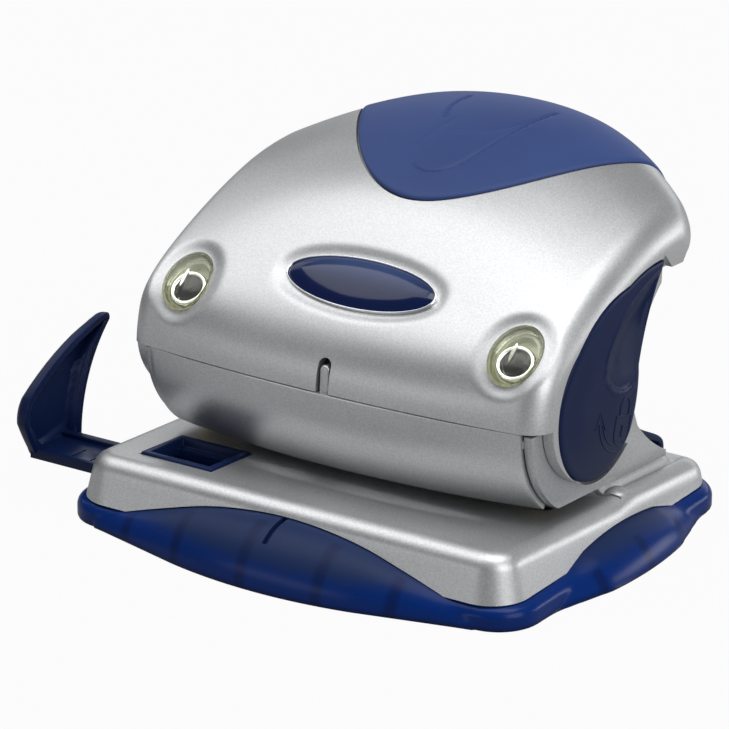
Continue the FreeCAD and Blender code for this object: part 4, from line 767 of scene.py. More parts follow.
def handle_skin():
    """The handle's outside as a sheet with its ears, given its wall."""
    columns = handle_columns()
    count = len(columns) - 1
    share = np.linspace(0, 1, SKIN_ROWS + 1)
    places = np.zeros((count + 1, SKIN_ROWS + 1, 3))
    for i, (x, drop) in enumerate(columns):
        place, out = skin_at(x, share)
        place = place - out * dishes(x, share)[:, None]
        along = at_station(ALONG, x)
        along = np.stack([np.interp(share, STEPS, along[:, k]) for k in (1, 2)], 1)
        along /= np.linalg.norm(along, axis=1, keepdims=True)
        inward = np.stack([np.zeros(len(share)), along[:, 1], -along[:, 0]], 1)
        places[i] = place + inward * drop
    piece = sheet("handle_cover", places)
    mesh = bmesh.new()
    mesh.from_mesh(piece.data)
    for side in (-1, 1):
        ring = [v for v in mesh.verts if abs(v.co.x - side * HALF) < 0.001]
        ends = places[0 if side < 0 else count]
        ordered = [min(ring, key=lambda v: (v.co - Vector(target)).length_squared) for target in ends]
        extra = [mesh.verts.new((side * HALF, v, w)) for v, w in ear_edge(side)]
        mesh.faces.new(ordered + list(reversed(extra)))
    bmesh.ops.recalc_face_normals(mesh, faces=mesh.faces)
    mesh.to_mesh(piece.data)
    mesh.free()
    return thicken(piece, WALL)


def skin_prism(name, x0, rise, half, low, high, steps=96):
    """An elliptical plug through the skin, between two heights off it."""
    def shape(s, t):
        angle = s * 2 * math.pi
        return on_skin(x0, rise, half[0] * np.cos(angle), half[1] * np.sin(angle), low + (high - low) * t)

    return sealed(weld(grid(name, steps, 1, shape), 0.0005))


PAD_APEX, PAD_HALF, PAD_LENGTH, PAD_GAP = 3.5, 38.0, 42.0, 0.42
PAD_SUNK, PAD_PROUD = 1.1, 0.42


def pad_patch(name, across, along, gap, end, height):
    """A patch of the skin in the grip's outline, grown by gap, at a height off the skin."""
    half = PAD_HALF + gap * 2.4
    stations = half * np.sin(np.linspace(-1, 1, across + 1) * math.pi / 2)
    places = np.zeros((across + 1, along + 1, 3))
    for i, x in enumerate(stations):
        skin = at_station(SKIN, x)
        front = PAD_APEX + PAD_LENGTH * (x / PAD_HALF) ** 2
        slope = 2 * PAD_LENGTH * x / PAD_HALF ** 2
        front -= gap * math.sqrt(1 + slope ** 2)
        first = np.interp(front, skin[:, 1], STEPS)
        share = first + (max(end, first + 0.002) - first) * np.linspace(0, 1, along + 1)
        place, out = skin_at(x, share)
        places[i] = place + out * height(place, front, slope)[:, None]
    return sheet(name, places)


LEVER_DISC, LEVER_GAP = 16.0, 0.4
LEVER_FLOOR, EAR_OUTSIDE = 48.6, 53.0
LEVER_TIP = (23.4, 25.4)
LUG_X, LUG_HALF = 30, 1.6
LUG_REACH, LUG_FOOT = (13.5, 21.5), 7.5
STUD_RADIUS, BAR_RADIUS, BAR_CENTRE = 4.06, 3.0, (17.5, 9.05)
ROOM_STEP = 0.0004


def lever_outline(gap):
    """The lever's teardrop seen from the side, grown by gap."""
    r = LEVER_DISC + gap
    tip_v, tip_w = LEVER_TIP[0] + gap, LEVER_TIP[1] + gap * 1.4
    corners = [(-0.95 * r, 0.3122 * r), (0.85 * r, -0.5268 * r), (0.97 * r, 4.8),
               (tip_v + gap, tip_w - 0.96), (tip_v, tip_w), (0.58 * r, 22.72 + gap)]
    bends = {0: (r, -1), 1: (24.0, -1), 2: (51.2, 1), 3: (1.28 + gap, -1), 4: (35.2, -1), 5: (33.6, -1)}
    return arc_edge(corners, bends, 44)


def add_bar_lugs(piece):
    """The two lugs under the skin that hold the press bar."""
    skin = at_station(SKIN, LUG_X)
    tops = [float(np.interp(v, skin[:, 1], skin[:, 2])) - 1.4 for v in LUG_REACH]
    front, rear = LUG_REACH
    edge = [(front, LUG_FOOT), (rear, LUG_FOOT), (rear, tops[1]), (front, tops[0])]
    for side in (-1, 1):
        lug = slab("lug", edge, LUG_X * side - LUG_HALF, LUG_X * side + LUG_HALF)
        mix_with(piece, lug, "UNION")


def cut_lever_rooms(piece):
    """Room for the lever at rest, at four more angles of its turn and in the fan its tip sweeps.

    Each room's floor lies a hair above the one before, so that no two faces are in one plane."""
    mix_with(piece, slab("lever_room", lever_outline(LEVER_GAP), LEVER_FLOOR, EAR_OUTSIDE))
    reach = math.hypot(*LEVER_TIP) + 0.8
    fan = [(0.0, 0.0)] + [(reach * math.cos(a), reach * math.sin(a))
                          for a in np.linspace(math.radians(-14.5), math.radians(48.7), 24)]
    mix_with(piece, slab("lever_fan", fan, LEVER_FLOOR + ROOM_STEP, EAR_OUTSIDE))
    for k in range(1, 5):
        floor_level = LEVER_FLOOR + ROOM_STEP * (k + 1)
        room = slab("lever_room", lever_outline(LEVER_GAP), floor_level, EAR_OUTSIDE)
        room.data.transform(Matrix.Rotation(math.radians(-15.0 * k), 4, "X"))
        mix_with(piece, room)


def handle_cover():
    """The silver handle, with its pad seat, plate seat, lens holes, notch and lever rooms."""
    piece = handle_skin()
    add_bar_lugs(piece)
    room = pad_patch("pad_room", 90, 50, PAD_GAP, 1.06, lambda place, front, slope: np.full(len(place), 2.0))
    modify(room, "SOLIDIFY", thickness=2.0 + PAD_SUNK + 0.05, offset=-1, use_even_offset=True)
    mix_with(piece, face_out(room))
    mix_with(piece, skin_prism("plate_seat", 0, PLATE_RISE, PLATE_HALF, -1.9, 1.0))
    for side in (-1, 1):
        mix_with(piece, skin_prism("lens_hole", LENS_X * side, LENS_RISE, LENS_HALF, -7.0, 2.0))
        mix_with(piece, rod("stud_hole", STUD_RADIUS, (HALF * side - 6, 0, 0), 12))
    notch = arc_edge([(1.55, -5.0), (1.55, 4.4), (-1.55, 4.4), (-1.55, -5.0)], {1: (1.551, -1)}, 12)
    mix_with(piece, slab("notch", notch, -32.0, -20.0, "XZ"))
    cut_lever_rooms(piece)
    mix_with(piece, slab("ear_trim", [(25.0, 23.3), (34.5, 23.5), (34.5, 8), (25.0, 8)], 44, EAR_OUTSIDE))
    mix_with(piece, rod("bar_hole", BAR_RADIUS, (-34, *BAR_CENTRE), 68))
    return settle(piece, HEAD, "handle", SILVER, ["handle_shell"], 32)


# Pressed lines in the grip, as places seen from above in the row frame, with depth and half width
GRIP_LINES = (
    ([(11.8, 43.5), (8.6, 30.2), (6.3, 21.3), (4.1, 15.9), (0.5, 12.7), (-3.1, 12.9), (-5.1, 14.3)],
     0.46, 0.34),
    ([(-9.7, 43.7), (-10.1, 37.2), (-8.6, 31.7)], 0.42, 0.34),
    ([(-4.1, 26.8), (3.7, 29.1), (9.2, 36.5)], 0.18, 0.40),
    ([(-5.1, 14.3), (-6.7, 16.6), (-7.5, 20.6), (-7.2, 26.2), (-5.9, 31.6)], 0.16, 0.38),
)
HEAD_BACK = -1.03


def nearer(best, points, a, b):
    """The smaller of a distance so far and the distance from points to the line from a to b."""
    along = b - a
    share = np.clip(((points - a) @ along) / (along @ along), 0, 1)
    return np.minimum(best, np.linalg.norm(points - a - share[:, None] * along, axis=1))


def away_from_line(points, corners):
    """How far points lie from a smooth line through corners."""
    line = smooth_line(np.array(corners, float), np.linspace(0, 1, 80))
    best = np.full(len(points), 1e9)
    for a, b in zip(line[:-1], line[1:]):
        best = nearer(best, points, a, b)
    return best


def grip_height(place, front, slope):
    """The grip's top: rolled at its edges, with its pressed lines."""
    rear = place[-1, 1]
    edge = np.minimum((place[:, 1] - front) / math.sqrt(1 + slope ** 2), (rear - place[:, 1]) * 1.2)
    roll = np.clip(edge / 1.3, 0, 1)
    height = -0.15 + (PAD_PROUD + 0.15) * np.sqrt(1 - (1 - roll) ** 2)
    back = HEAD_BACK + place[:, 1] * math.cos(TILT) + place[:, 2] * math.sin(TILT)
    seen = np.stack([place[:, 0], back], 1)
    for corners, deep, wide in GRIP_LINES:
        height = height - deep * np.exp(-(away_from_line(seen, corners) / wide) ** 2) * roll
    return height


def grip_pad():
    """The soft blue grip, let into the handle."""
    piece = pad_patch("grip_cushion", 240, 180, 0.0, 0.998, grip_height)
    face_out(piece)
    modify(piece, "SOLIDIFY", thickness=1.0, offset=-1, use_even_offset=False)
    weld(piece, 0.004)
    face_out(piece)
    settle(piece, HEAD, "handle", GRIP, ["grip_pad"], 40)
    return piece


# Nameplate and lenses, which follow the skin
def skin_turned(name, x0, rise, half, profile, steps=96, closed=False):
    """Rings round a spot on the skin: each row is an offset from the ellipse and a height."""
    profile = np.array(profile, float)
    rows = len(profile) - 1

    def shape(s, t):
        at = np.rint(t * rows).astype(int)
        angle = s * 2 * math.pi
        a = (half[0] + profile[at, 0]) * np.cos(angle)
        b = (half[1] + profile[at, 0]) * np.sin(angle)
        return on_skin(x0, rise, a, b, profile[at, 1])

    piece = weld(grid(name, steps, rows, shape), 0.0005)
    return face_out(piece) if closed else sealed(piece)


def nameplate():
    """The bright oval rim and the bare domed badge inside it."""
    bead = [(-0.29 + 0.27 * math.cos(a), -0.50 + 0.42 * math.sin(a)) for a in np.linspace(0, math.pi, 13)]
    bead = [(-0.03, -1.8), (-0.02, -1.0)] + bead + [(-0.56, -1.0), (-0.56, -1.8), (-0.03, -1.8)]
    rim = skin_turned("nameplate_band", 0, PLATE_RISE, PLATE_HALF, bead, closed=True)
    settle(rim, HEAD, "handle", CHROME, ["nameplate_rim"], 50)
    dome = [(-0.60, -1.6), (-0.60, -0.45)]
    inner = PLATE_HALF[1] - 0.60
    for k in range(1, 15):
        share = k / 15
        dome.append((-0.60 - inner * share * 0.995, -0.45 + 1.05 * (1 - (1 - share) ** 2.4)))
    badge = skin_turned("nameplate_face", 0, PLATE_RISE, PLATE_HALF, dome)
    settle(badge, HEAD, "handle", BADGE, ["nameplate_badge"], 50)


LENS_TOP, LENS_SIDE, LENS_SKIRT = 0.55, -0.55, -3.2
LENS_SEAT = [(-0.02, -3.9), (-0.02, -3.2), (-0.9, -3.2), (-1.4, -2.6), (-2.0, -2.5), (-2.2, -3.4),
             (-2.2, -4.3)]
RING = [(0.02, -2.9), (2.75, -2.9), (2.85, -2.5), (3.0, -2.2), (3.2, -1.98), (3.45, -1.9),
        (3.68, -1.98), (3.85, -2.2), (3.96, -2.6), (4.0, -3.4), (0.02, -3.6)]
BALL, BALL_LEVEL, BALL_RISE = 2.72, -2.6, 0.9


def lens_profile():
    """The section of a lens: skirt, dome and hollow underside, as offsets from its ellipse."""
    dome = [(-0.06, LENS_SKIRT), (-0.06, LENS_SIDE)]
    for k in range(1, 15):
        share = k / 15
        dome.append((-0.06 - LENS_HALF[0] * share * 0.985,
                     LENS_SIDE + (LENS_TOP - LENS_SIDE) * (1 - (1 - share) ** 3.0)))
    under = [(-0.85 - (LENS_HALF[0] - 0.9) * (1 - k / 6.0) * 0.98, -0.75 - 0.25 * (k / 6.0) ** 2)
             for k in range(7)]
    return dome + under + [(-0.85, LENS_SKIRT), dome[0]]


def lens(word, side):
    """One lens with its pale seat, and the bright ring and the pin head seen through it; the pin head is
    near-black, a painted dark reflection.
    """
    x0 = LENS_X * side
    cap = skin_turned("lens_window_" + word, x0, LENS_RISE, LENS_HALF, lens_profile(), 72, closed=True)
    settle(cap, HEAD, "handle", LENS, ["lens_" + word], 40)
    well = skin_turned("lens_seat_" + word, x0, LENS_RISE, LENS_HALF, LENS_SEAT, 72)
    settle(well, HEAD, "handle", WELL, (), 40)
    ball = [(BALL * math.sin(a), BALL_LEVEL + BALL_RISE * math.cos(a))
            for a in np.linspace(0.02, math.pi / 2, 14)]
    spot, out = skin_at(x0, np.array([share_at_rise(x0, LENS_RISE)]))
    turn = Vector(out[0]).to_track_quat("Z", "Y").to_matrix().to_4x4()
    place = Matrix.Translation(Vector(spot[0]) + Vector((0, -0.55, -0.75))) @ turn
    cup = turned("lens_ring_" + word, RING, place, 64)
    settle(cup, HEAD, "handle", CHROME, ["lens_cup_" + word], 40)
    # The pin head is near-black: a painted dark reflection
    head = turned("lens_pin_head_" + word, ball + [(BALL, -2.95), (0.02, -2.95)], place, 64)
    settle(head, HEAD, "handle", PIN_HEAD_DARK_REFLECTION, (), 40)


# The lock lever
LEVER_TOP, LEVER_ROUND = 50.1, 0.55
THUMB_SPOT = (13.5, 8.0)
HOLLOW = [(21.4, 23.2), (15.4, 21.1), (9.8, 18.3), (5.9, 15.4), (3.1, 12.2), (1.4, 9.0),
          (1.5, 6.2), (3.0, 3.6), (5.6, 1.6), (8.4, 0.8), (11.2, 0.9), (13.6, 2.0),
          (16.2, 4.6), (19.0, 9.0), (22.5, 16.0), (25.0, 22.0)]


def depth_inside(points, corners):
    """How far points lie inside a closed outline; less than nothing outside it."""
    line = np.array(corners, float)
    best = np.full(len(points), 1e9)
    inside = np.zeros(len(points), bool)
    for a, b in zip(line, np.roll(line, -1, axis=0)):
        along = b - a
        best = nearer(best, points, a, b)
        crosses = (a[1] > points[:, 1]) != (b[1] > points[:, 1])
        if crosses.any():
            at = a[0] + (points[:, 1] - a[1]) * along[0] / (along[1] if along[1] else 1e-9)
            inside ^= crosses & (points[:, 0] < at)
    return np.where(inside, best, -best)


def lever_height(points):
    """The lever's outer face: crowned, with the thumb hollow and its lip."""
    edge = np.maximum(depth_inside(points, lever_outline(0.0)), 0)
    height = LEVER_ROUND * np.sqrt(1 - (1 - np.clip(edge / 1.6, 0, 1)) ** 2) + 0.40 * eased_step(edge / 10.0)
    line = smooth_line(np.array(HOLLOW, float), np.linspace(0, 1, 70))
    depth = depth_inside(points, line)
    floor = 0.55 * eased_step(depth / 0.8) + 0.75 * eased_step((depth - 0.3) / 5.5)
    lip = 0.16 * np.exp(-((depth + 0.35) / 0.4) ** 2) * eased_step(edge / 1.5)
    return height - floor * eased_step(edge / 1.9) + lip


def spine_of(edge, low, high, steps):
    """For each point of an outline, the place on a line from low to high that it is drawn towards.

    The places fall on even steps, so that both sides of the outline share them."""
    along = high - low
    share = np.clip(((edge - low) @ along) / (along @ along), 0, 1)
    return low + (np.round(share * steps) / steps)[:, None] * along


def lock_lever():
    """The lever's body, drawn from its outline inwards to its spine."""
    edge = np.array(lever_outline(0.0))
    rows = 58
    spine = spine_of(edge, np.zeros(2), np.array([21.0, 22.6]), 50)
    reach = np.linspace(0, 1, rows)[:, None]
    lines = [edge[i] + (spine[i] - edge[i]) * reach for i in range(len(edge))]
    heights = lever_height(np.concatenate(lines)).reshape(len(edge), rows)
    levels = np.maximum(LEVER_TOP - LEVER_ROUND + heights, LEVER_FLOOR + 0.25)
    places = []
    for start, line, x in zip(edge, lines, levels):
        section = [(LEVER_FLOOR + 0.12, start[0], start[1])]
        section += [(x[k], line[k][0], line[k][1]) for k in range(rows)]
        places.append(section)
    piece = ring_form("lever_body", places)
    sealed(weld(piece, 0.003))
    return settle(piece, HEAD, "lock", LEVER, ["lock_lever"], 60)


def raised_line(name, line, radius):
    """A thin raised line on the lever's face, from places seen from the side."""
    line = np.array(line, float)
    x = LEVER_TOP - LEVER_ROUND + lever_height(line)
    curve = bpy.data.curves.new(name, "CURVE")
    curve.dimensions = "3D"
    curve.bevel_depth = radius
    curve.bevel_resolution = 3
    curve.use_fill_caps = True
    spline = curve.splines.new("POLY")
    spline.points.add(len(line) - 1)
    for point, (v, w), level in zip(spline.points, line, x):
        point.co = (level - radius * 0.35, v, w, 1)
    thing = bpy.data.objects.new(name, curve)
    bpy.context.scene.collection.objects.link(thing)
    activate(thing)
    bpy.ops.object.convert(target="MESH")
    return named(name)


def lever_pictogram():
    """The generic raised signs on the lever: a padlock and a turning arrow."""
    centre = np.array([8.9, -7.3])
    up = np.array([math.sin(math.radians(10)), math.cos(math.radians(10))])
    side = np.array([up[1], -up[0]])

    def at(a, b):
        return centre + side * a + up * b

    def around(radius, first, last):
        turns = np.linspace(math.radians(first), math.radians(last), 24)
        return [np.array([7.6 + radius * math.cos(t), -3.0 + radius * math.sin(t)]) for t in turns]

    belly = [at(3.3 * math.cos(t), -0.4 + 3.0 * math.sin(t)) for t in np.linspace(math.pi, 2 * math.pi, 19)]
    body = [at(-3.3, 2.9)] + belly + [at(3.3, 2.9), at(-3.3, 2.9)]
    bow = [at(2.0 * math.cos(t), 4.7 + 2.1 * math.sin(t)) for t in np.linspace(math.pi, 0, 15)]
    shackle = [at(-2.0, 2.9), at(-2.0, 4.7)] + bow + [at(2.0, 4.7), at(2.0, 2.9)]
    slot = [at(0, 0.9), at(0, -1.5)]
    arrow = around(8.5, 186, 262)
    inner = around(7.1, 192, 262)
    tip = arrow[0]
    head = [tip + np.array([-1.6, -1.0]), tip + np.array([0.4, 2.2]), tip + np.array([2.6, -1.6])]
    lines = [raised_line("sign_body", body, 0.26), raised_line("sign_shackle", shackle, 0.26),
             raised_line("sign_slot", slot, 0.32), raised_line("sign_arrow", arrow, 0.22),
             raised_line("sign_inner", inner, 0.22), raised_line("sign_head", head, 0.24)]
    piece = join_pieces("lever_sign", lines)
    return settle(face_out(piece), HEAD, "lock", LEVER, (), 60)


# The front cover and its marks
COVER_CENTRE, COVER_END, COVER_HALF = 27.0, 23.5, 45.5
COVER_BEND = (COVER_HALF ** 2 + (COVER_CENTRE - COVER_END) ** 2) / (2 * (COVER_CENTRE - COVER_END))


def cover_radius(x):
    """The barrel's radius at a place along it."""
    return COVER_CENTRE - (COVER_BEND - np.sqrt(COVER_BEND ** 2 - x ** 2))


def cover_sheet(name, inset, low, high, wall, across=70, along=46):
    """A piece of the barrel between two heights, inset from its outside."""
    def shape(s, t):
        x = (s * 2 - 1) * COVER_HALF
        r = cover_radius(x) - inset
        top = high - 0.25 * (1 - np.abs(x / HALF) ** CROWN) * (high < 0)
        first, last = np.arcsin(low / r), np.arcsin(top / r)
        angle = first + (last - first) * t
        return np.stack([x, -r * np.cos(angle), r * np.sin(angle)], 1)

    return thicken(grid(name, across, along, shape), wall)


def front_cover():
    """The silver barrel under the handle's lip, with its shelf and centre rib."""
    skin = soften(cover_sheet("cover_skin", 0.0, -19.9, -1.32, 1.8), 0.12, 2, 50)
    lip = cover_sheet("cover_lip", 4.7, -5.0, 8.2, 1.6)
    shelf = cover_sheet("cover_shelf", 1.2, -4.6, -2.9, 5.0, 70, 2)
    rib_edge = arc_edge([(1.1, -2.2), (1.1, 3.3), (-1.1, 3.3), (-1.1, -2.2)], {1: (1.101, -1)}, 16)
    rib = soften(slab("cover_rib", rib_edge, -25.85, -21.5, "XZ"), 0.35, 3, 40)
    piece = join_pieces("barrel_cover", [skin, lip, shelf, rib])
    return settle(piece, HEAD, "base", SILVER, ["front_cover"], 35)


# The base
BASE_HALF, BASE_DEPTH, BASE_CORNER, BASE_LOW = 53.6, 42.6, 8.5, 5.1
DRAFT = math.tan(math.radians(14.0))
WALL_GAP = 1.2
SIDE_RISE_UP = 1.1
SHOULDER_RUN = 2.3


def base_block(name, inset, low):
    """The base's outside form as a solid, made smaller by inset."""
    places, outward = plan_points(BASE_HALF - inset, BASE_DEPTH - inset, BASE_CORNER - inset, 1.1)
    slope = math.tan(TILT)
    sections = []
    for (x, y), (nx, ny) in zip(places, outward):
        top = DECK_HEIGHT - y * slope - inset / math.cos(TILT)
        q = ny * slope
        corner_z = (top - BASE_LOW * q * DRAFT) / (1 - q * DRAFT)
        corner_u = -(corner_z - BASE_LOW) * DRAFT
        arc = fillet((corner_u, corner_z), (DRAFT, -1), (-1, q), 4.0 - inset * 0.5, 10)
        line = [((BASE_LOW - low) * DRAFT, low)]
        line += [(-(z - BASE_LOW) * DRAFT, z) for z in np.linspace(low, arc[0].y, 6)[1:-1]]
        line += [(p.x, p.y) for p in arc]
        if not inset:
            raised = SIDE_RISE_UP * eased_step((y - 2.0) / 9.0) * nx * nx
            line = [(u, z + raised * eased_step((z - corner_z + 5.0) / 4.5)) for u, z in line]
            end = arc[-1]
            for k in range(1, 9):
                run = SHOULDER_RUN * k / 8
                line.append((end.x - run, end.y + q * run + raised * (1 - eased_step(k / 8.0))))
        sections.append([(x + nx * u, y + ny * u, z) for u, z in line])
    return sealed(ring_form(name, sections))


def step_block(name, inset, root):
    """The raised rear step of the deck as a solid."""
    half_v, front = 15.5, 5.0
    places, outward = plan_points(47.6 - inset, half_v - inset, 5.0 - inset, 1.0)
    height = 2.5 - inset
    soft = [(0.9 - 2.9 * k / 14, 0.02 + (height - 0.02) * float(eased_step(k / 14))) for k in range(15)]
    line = [(soft[0][0], -root)] + soft
    sections = [[(x + nx * u, v + nv * u + front + half_v, w) for u, w in line]
                for (x, v), (nx, nv) in zip(places, outward)]
    return face_out(on_deck(close_holes(ring_form(name, sections))))


def bulge_radius(place, centre, arc_radius, arc, end_radius, half_length):
    """The tray bulge's radius at a place along its axis."""
    place = np.abs(place)
    rise = centre - arc_radius
    bend = (arc ** 2 + rise ** 2) / (2 * rise)
    curved = centre - (bend - np.sqrt(np.maximum(bend ** 2 - place ** 2, 0)))
    straight = arc_radius + (end_radius - arc_radius) * (place - arc) / (half_length - arc)
    return np.where(place < arc, curved, straight)


FRONT_BULGE = (12.1, 9.7, 22.0, 3.5, 46.0)
SIDE_BULGE = (9.5, 8.5, 14.0, 4.2, 29.5)
FRONT_AXIS_Y, SIDE_AXIS_X, SIDE_AXIS_Z, SIDE_CENTRE = -40.4, 52.0, -1.5, 2.0


def bulge_tool(name, shape_numbers, grow, place):
    """A tray bulge's whole turned form, grown by grow, as a cutting tool."""
    half = shape_numbers[4] + grow
    stations = np.linspace(-half, half, 61)
    profile = [(0.01, -half)]
    profile += [(float(bulge_radius(s, *shape_numbers)) + grow, s) for s in stations]
    profile += [(0.01, half)]
    return turned(name, profile, place, 96)


SCALLOP_GAP = 0.3
PIN_X, HINGE_X, HINGE_AXIS, KNUCKLE = 40, 30, (42.5, 4.8), 1.5


def cut_scallops(piece):
    """The room of the tray's bulges in the base's front and sides."""
    along_x = Matrix.Rotation(math.radians(90), 4, "Y")
    along_y = Matrix.Rotation(math.radians(-90), 4, "X")
    place = Matrix.Translation((0, FRONT_AXIS_Y, 0)) @ along_x
    mix_with(piece, bulge_tool("front_scallop", FRONT_BULGE, SCALLOP_GAP, place))
    for side in (-1, 1):
        place = Matrix.Translation((SIDE_AXIS_X * side, SIDE_CENTRE, SIDE_AXIS_Z)) @ along_y
        mix_with(piece, bulge_tool("side_scallop", SIDE_BULGE, SCALLOP_GAP, place))


def base_plate():
    """The pressed silver base with its raised step, windows, hinge lugs and the marks beside them."""
    piece = base_block("base_cover", 0.0, BASE_LOW)
    mix_with(piece, step_block("step", 0.0, 0.6), "UNION")
    mix_with(piece, base_block("base_hollow", WALL_GAP, 2.0))
    mix_with(piece, step_block("step_hollow", WALL_GAP, 2.4))
    cut_scallops(piece)
    mix_with(piece, on_deck(block("window_room", (-42.3, -33.5, -4), (-23.7, -18.3, 4))))
    mix_with(piece, on_deck(block("arm_mouth", (-62, -37.5, -7.9), (-48, -19.9, -2.8))))
    for side in (-1, 1):
        hinge = HINGE_X * side
        mix_with(piece, on_deck(rod("die_window", 3.2, (PIN_X * side, -7.0, -6.0), 9.0, "Z", 48)))
        mix_with(piece, block("hinge_room", (hinge - 3.1, 40.1, 0.0), (hinge + 3.1, 50.0, 6.9)))
    for side in (-1, 1):
        start = (HINGE_X * side - 5.0, *HINGE_AXIS)
        mix_with(piece, rod("hinge_lug", KNUCKLE, start, 2.2, "X", 24), "UNION")
    mound = [(3.1 * math.sin(a), 1.5 * math.cos(a)) for a in np.linspace(0.02, 1.9, 20)]
    place = DECK_PLACE @ Matrix.Translation((48.1, 9.4, -0.15))
    mix_with(piece, turned("deck_bump", mound, place, 48, (1.0, 1.05)), "UNION")
    slit = [(44.0, 6.2), (50.6, 7.1), (50.9, 6.6), (44.5, 5.4)]
    mix_with(piece, on_deck(slab("throat_slit", slit, -0.6, 1.2, "XY")))
    return settle(piece, ROW, "base", SILVER, ["base_plate"], 32)


# The chip tray
TRAY_HALF, TRAY_DEPTH, TRAY_CORNER, TRAY_TOP, TRAY_ROUND = 56.0, 43.4, 9.5, 4.8, 2.4
BULGE_BLEND, TRAY_WALL, FOOT_X = 0.35, 1.6, 44


def tray_section(x, y, nx, ny):
    """Points of the tray's outside at one place round it, from the table up to its rim."""
    beside = nx * nx
    inset = 3.0 * (1 - beside) + 4.0 * beside
    axis_z = SIDE_AXIS_Z * beside
    bulge = 0.0
    if ny < -0.999:
        bulge = float(bulge_radius(x, *FRONT_BULGE))
    if abs(nx) > 0.999:
        bulge = float(bulge_radius(y - SIDE_CENTRE, *SIDE_BULGE))
    high = TRAY_TOP - axis_z
    centre = Vector((inset - TRAY_ROUND, high - TRAY_ROUND))
    rows = []
    for angle in np.linspace(-0.02, math.pi / 2, 30):
        d = Vector((math.cos(angle), math.sin(angle)))
        face = inset / max(d.x, 1e-6)
        roof = high / max(d.y, 1e-6)
        if face * d.y <= centre.y:
            band = face
        elif roof * d.x <= centre.x:
            band = roof
        else:
            reach = d.dot(centre)
            band = reach + math.sqrt(max(reach ** 2 - centre.length_squared + TRAY_ROUND ** 2, 0))
        r = band
        if bulge >= TRAY_ROUND:
            r = (band + bulge + math.sqrt((band - bulge) ** 2 + BULGE_BLEND)) / 2
        rows.append((r * d.x - inset, max(axis_z + r * d.y, 0.0)))
    first = next((k for k, (u, z) in enumerate(rows) if z > 0.05), 1)
    base_u = rows[first][0]
    foot = [(base_u - 0.5, 0.0), (base_u - 0.15, 0.12), (base_u, 0.5)]
    upper = [(u, z) for u, z in rows[first:] if z > 0.55]
    line = np.array(foot + upper)
    run = np.concatenate([[0], np.cumsum(np.linalg.norm(np.diff(line, axis=0), axis=1))])
    even = np.concatenate([run[:3], np.linspace(run[3], run[-1], 26)])
    out = np.interp(even, run, line[:, 0])
    up = np.interp(even, run, line[:, 1])
    return [(x + nx * u, y + ny * u, z) for u, z in zip(out, up)]


def chip_tray():
    """The translucent tray with its floor, foot holes, front mark and hinge knuckles."""
    places, outward = plan_points(TRAY_HALF, TRAY_DEPTH, TRAY_CORNER, 1.0)
    sections = [tray_section(x, y, nx, ny) for (x, y), (nx, ny) in zip(places, outward)]
    piece = thicken(ring_form("tray_body", sections), TRAY_WALL)
    places = points_of(piece)
    places[:, 2] = np.maximum(places[:, 2], 0.0)
    place_points(piece, places)
    outline = [(section[0][0] * 0.992, section[0][1] * 0.992) for section in sections]
    mix_with(piece, slab("tray_floor", outline, 0.0, TRAY_WALL, "XY"), "UNION")
    for side in (-1, 1):
        for y in (-16.0, 33.0):
            mix_with(piece, rod("foot_collar", 6.2, (FOOT_X * side, y, 0.002), 3.2, "Z", 48), "UNION")
            mix_with(piece, rod("foot_hole", 5.0, (FOOT_X * side, y, -3), 9.0, "Z", 48))
    mark = [(FRONT_AXIS_Y - radius * math.cos(a), radius * math.sin(a))
            for radius, first, last in ((11.0, 0.86, 1.57), (13.5, 1.57, 0.86))
            for a in np.linspace(first, last, 12)]
    mix_with(piece, slab("tray_mark", mark, -0.65, 0.65))
    for side in (-1, 1):
        start = (HINGE_X * side - 2.2, *HINGE_AXIS)
        mix_with(piece, rod("tray_knuckle", KNUCKLE, start, 4.7, "X", 24, 0.2), "UNION")
    return settle(piece, ROW, "tray", TRAY, ["chip_tray"], 34)


# The paper guide
FIN_FACE = -68.0


def fin_outline():
    """The fin seen from the side: its foot, its concave front and its tip."""
    front, low = -34.48, 7.25
    corners = [(front + 1.5, low), (front - 0.7, low + 1.5), (front - 4.29, low + 9.1),
               (front - 1.95, low + 15.08), (front + 25.09, low + 26.0), (front + 26.0, low + 24.18),
               (front + 15.21, low)]
    bends = {0: (1.9, 1), 1: (40.0, 1), 2: (8.32, 1), 3: (62.4, 1), 4: (1.3, 1), 5: (32.5, -1)}
    return arc_edge(corners, bends, 20)


def guide_fin():
    """The fin: a thin hull, rounded outside, with a hollow face inside a broad rim."""
    edge = np.array(fin_outline())
    rows = 34
    spine = spine_of(edge, np.array([-29.5, 14.0]), np.array([-10.2, 31.6]), 24)
    places = []
    for i in range(len(edge)):
        line = edge[i] + (spine[i] - edge[i]) * np.linspace(0, 1, rows)[:, None]
        depth = np.linalg.norm(line - edge[i], axis=1)
        hull = 0.35 + 3.65 * np.sqrt(1 - (1 - np.clip(depth / 3.2, 0, 1)) ** 2)
        pocket = 0.9 * eased_step((depth - 1.3) / 0.9) + 1.6 * eased_step((depth - 2.7) / 1.2)
        round_in = 0.35 * (1 - eased_step(depth / 0.5))
        inner = np.minimum(pocket + round_in, hull - 0.12)
        section = [(FIN_FACE - hull[k], line[k][0], line[k][1]) for k in range(rows - 1, -1, -1)]
        section += [(FIN_FACE - inner[k], line[k][0], line[k][1]) for k in range(rows)]
        places.append(section)
    return sealed(weld(ring_form("guide_fin", places), 0.003))


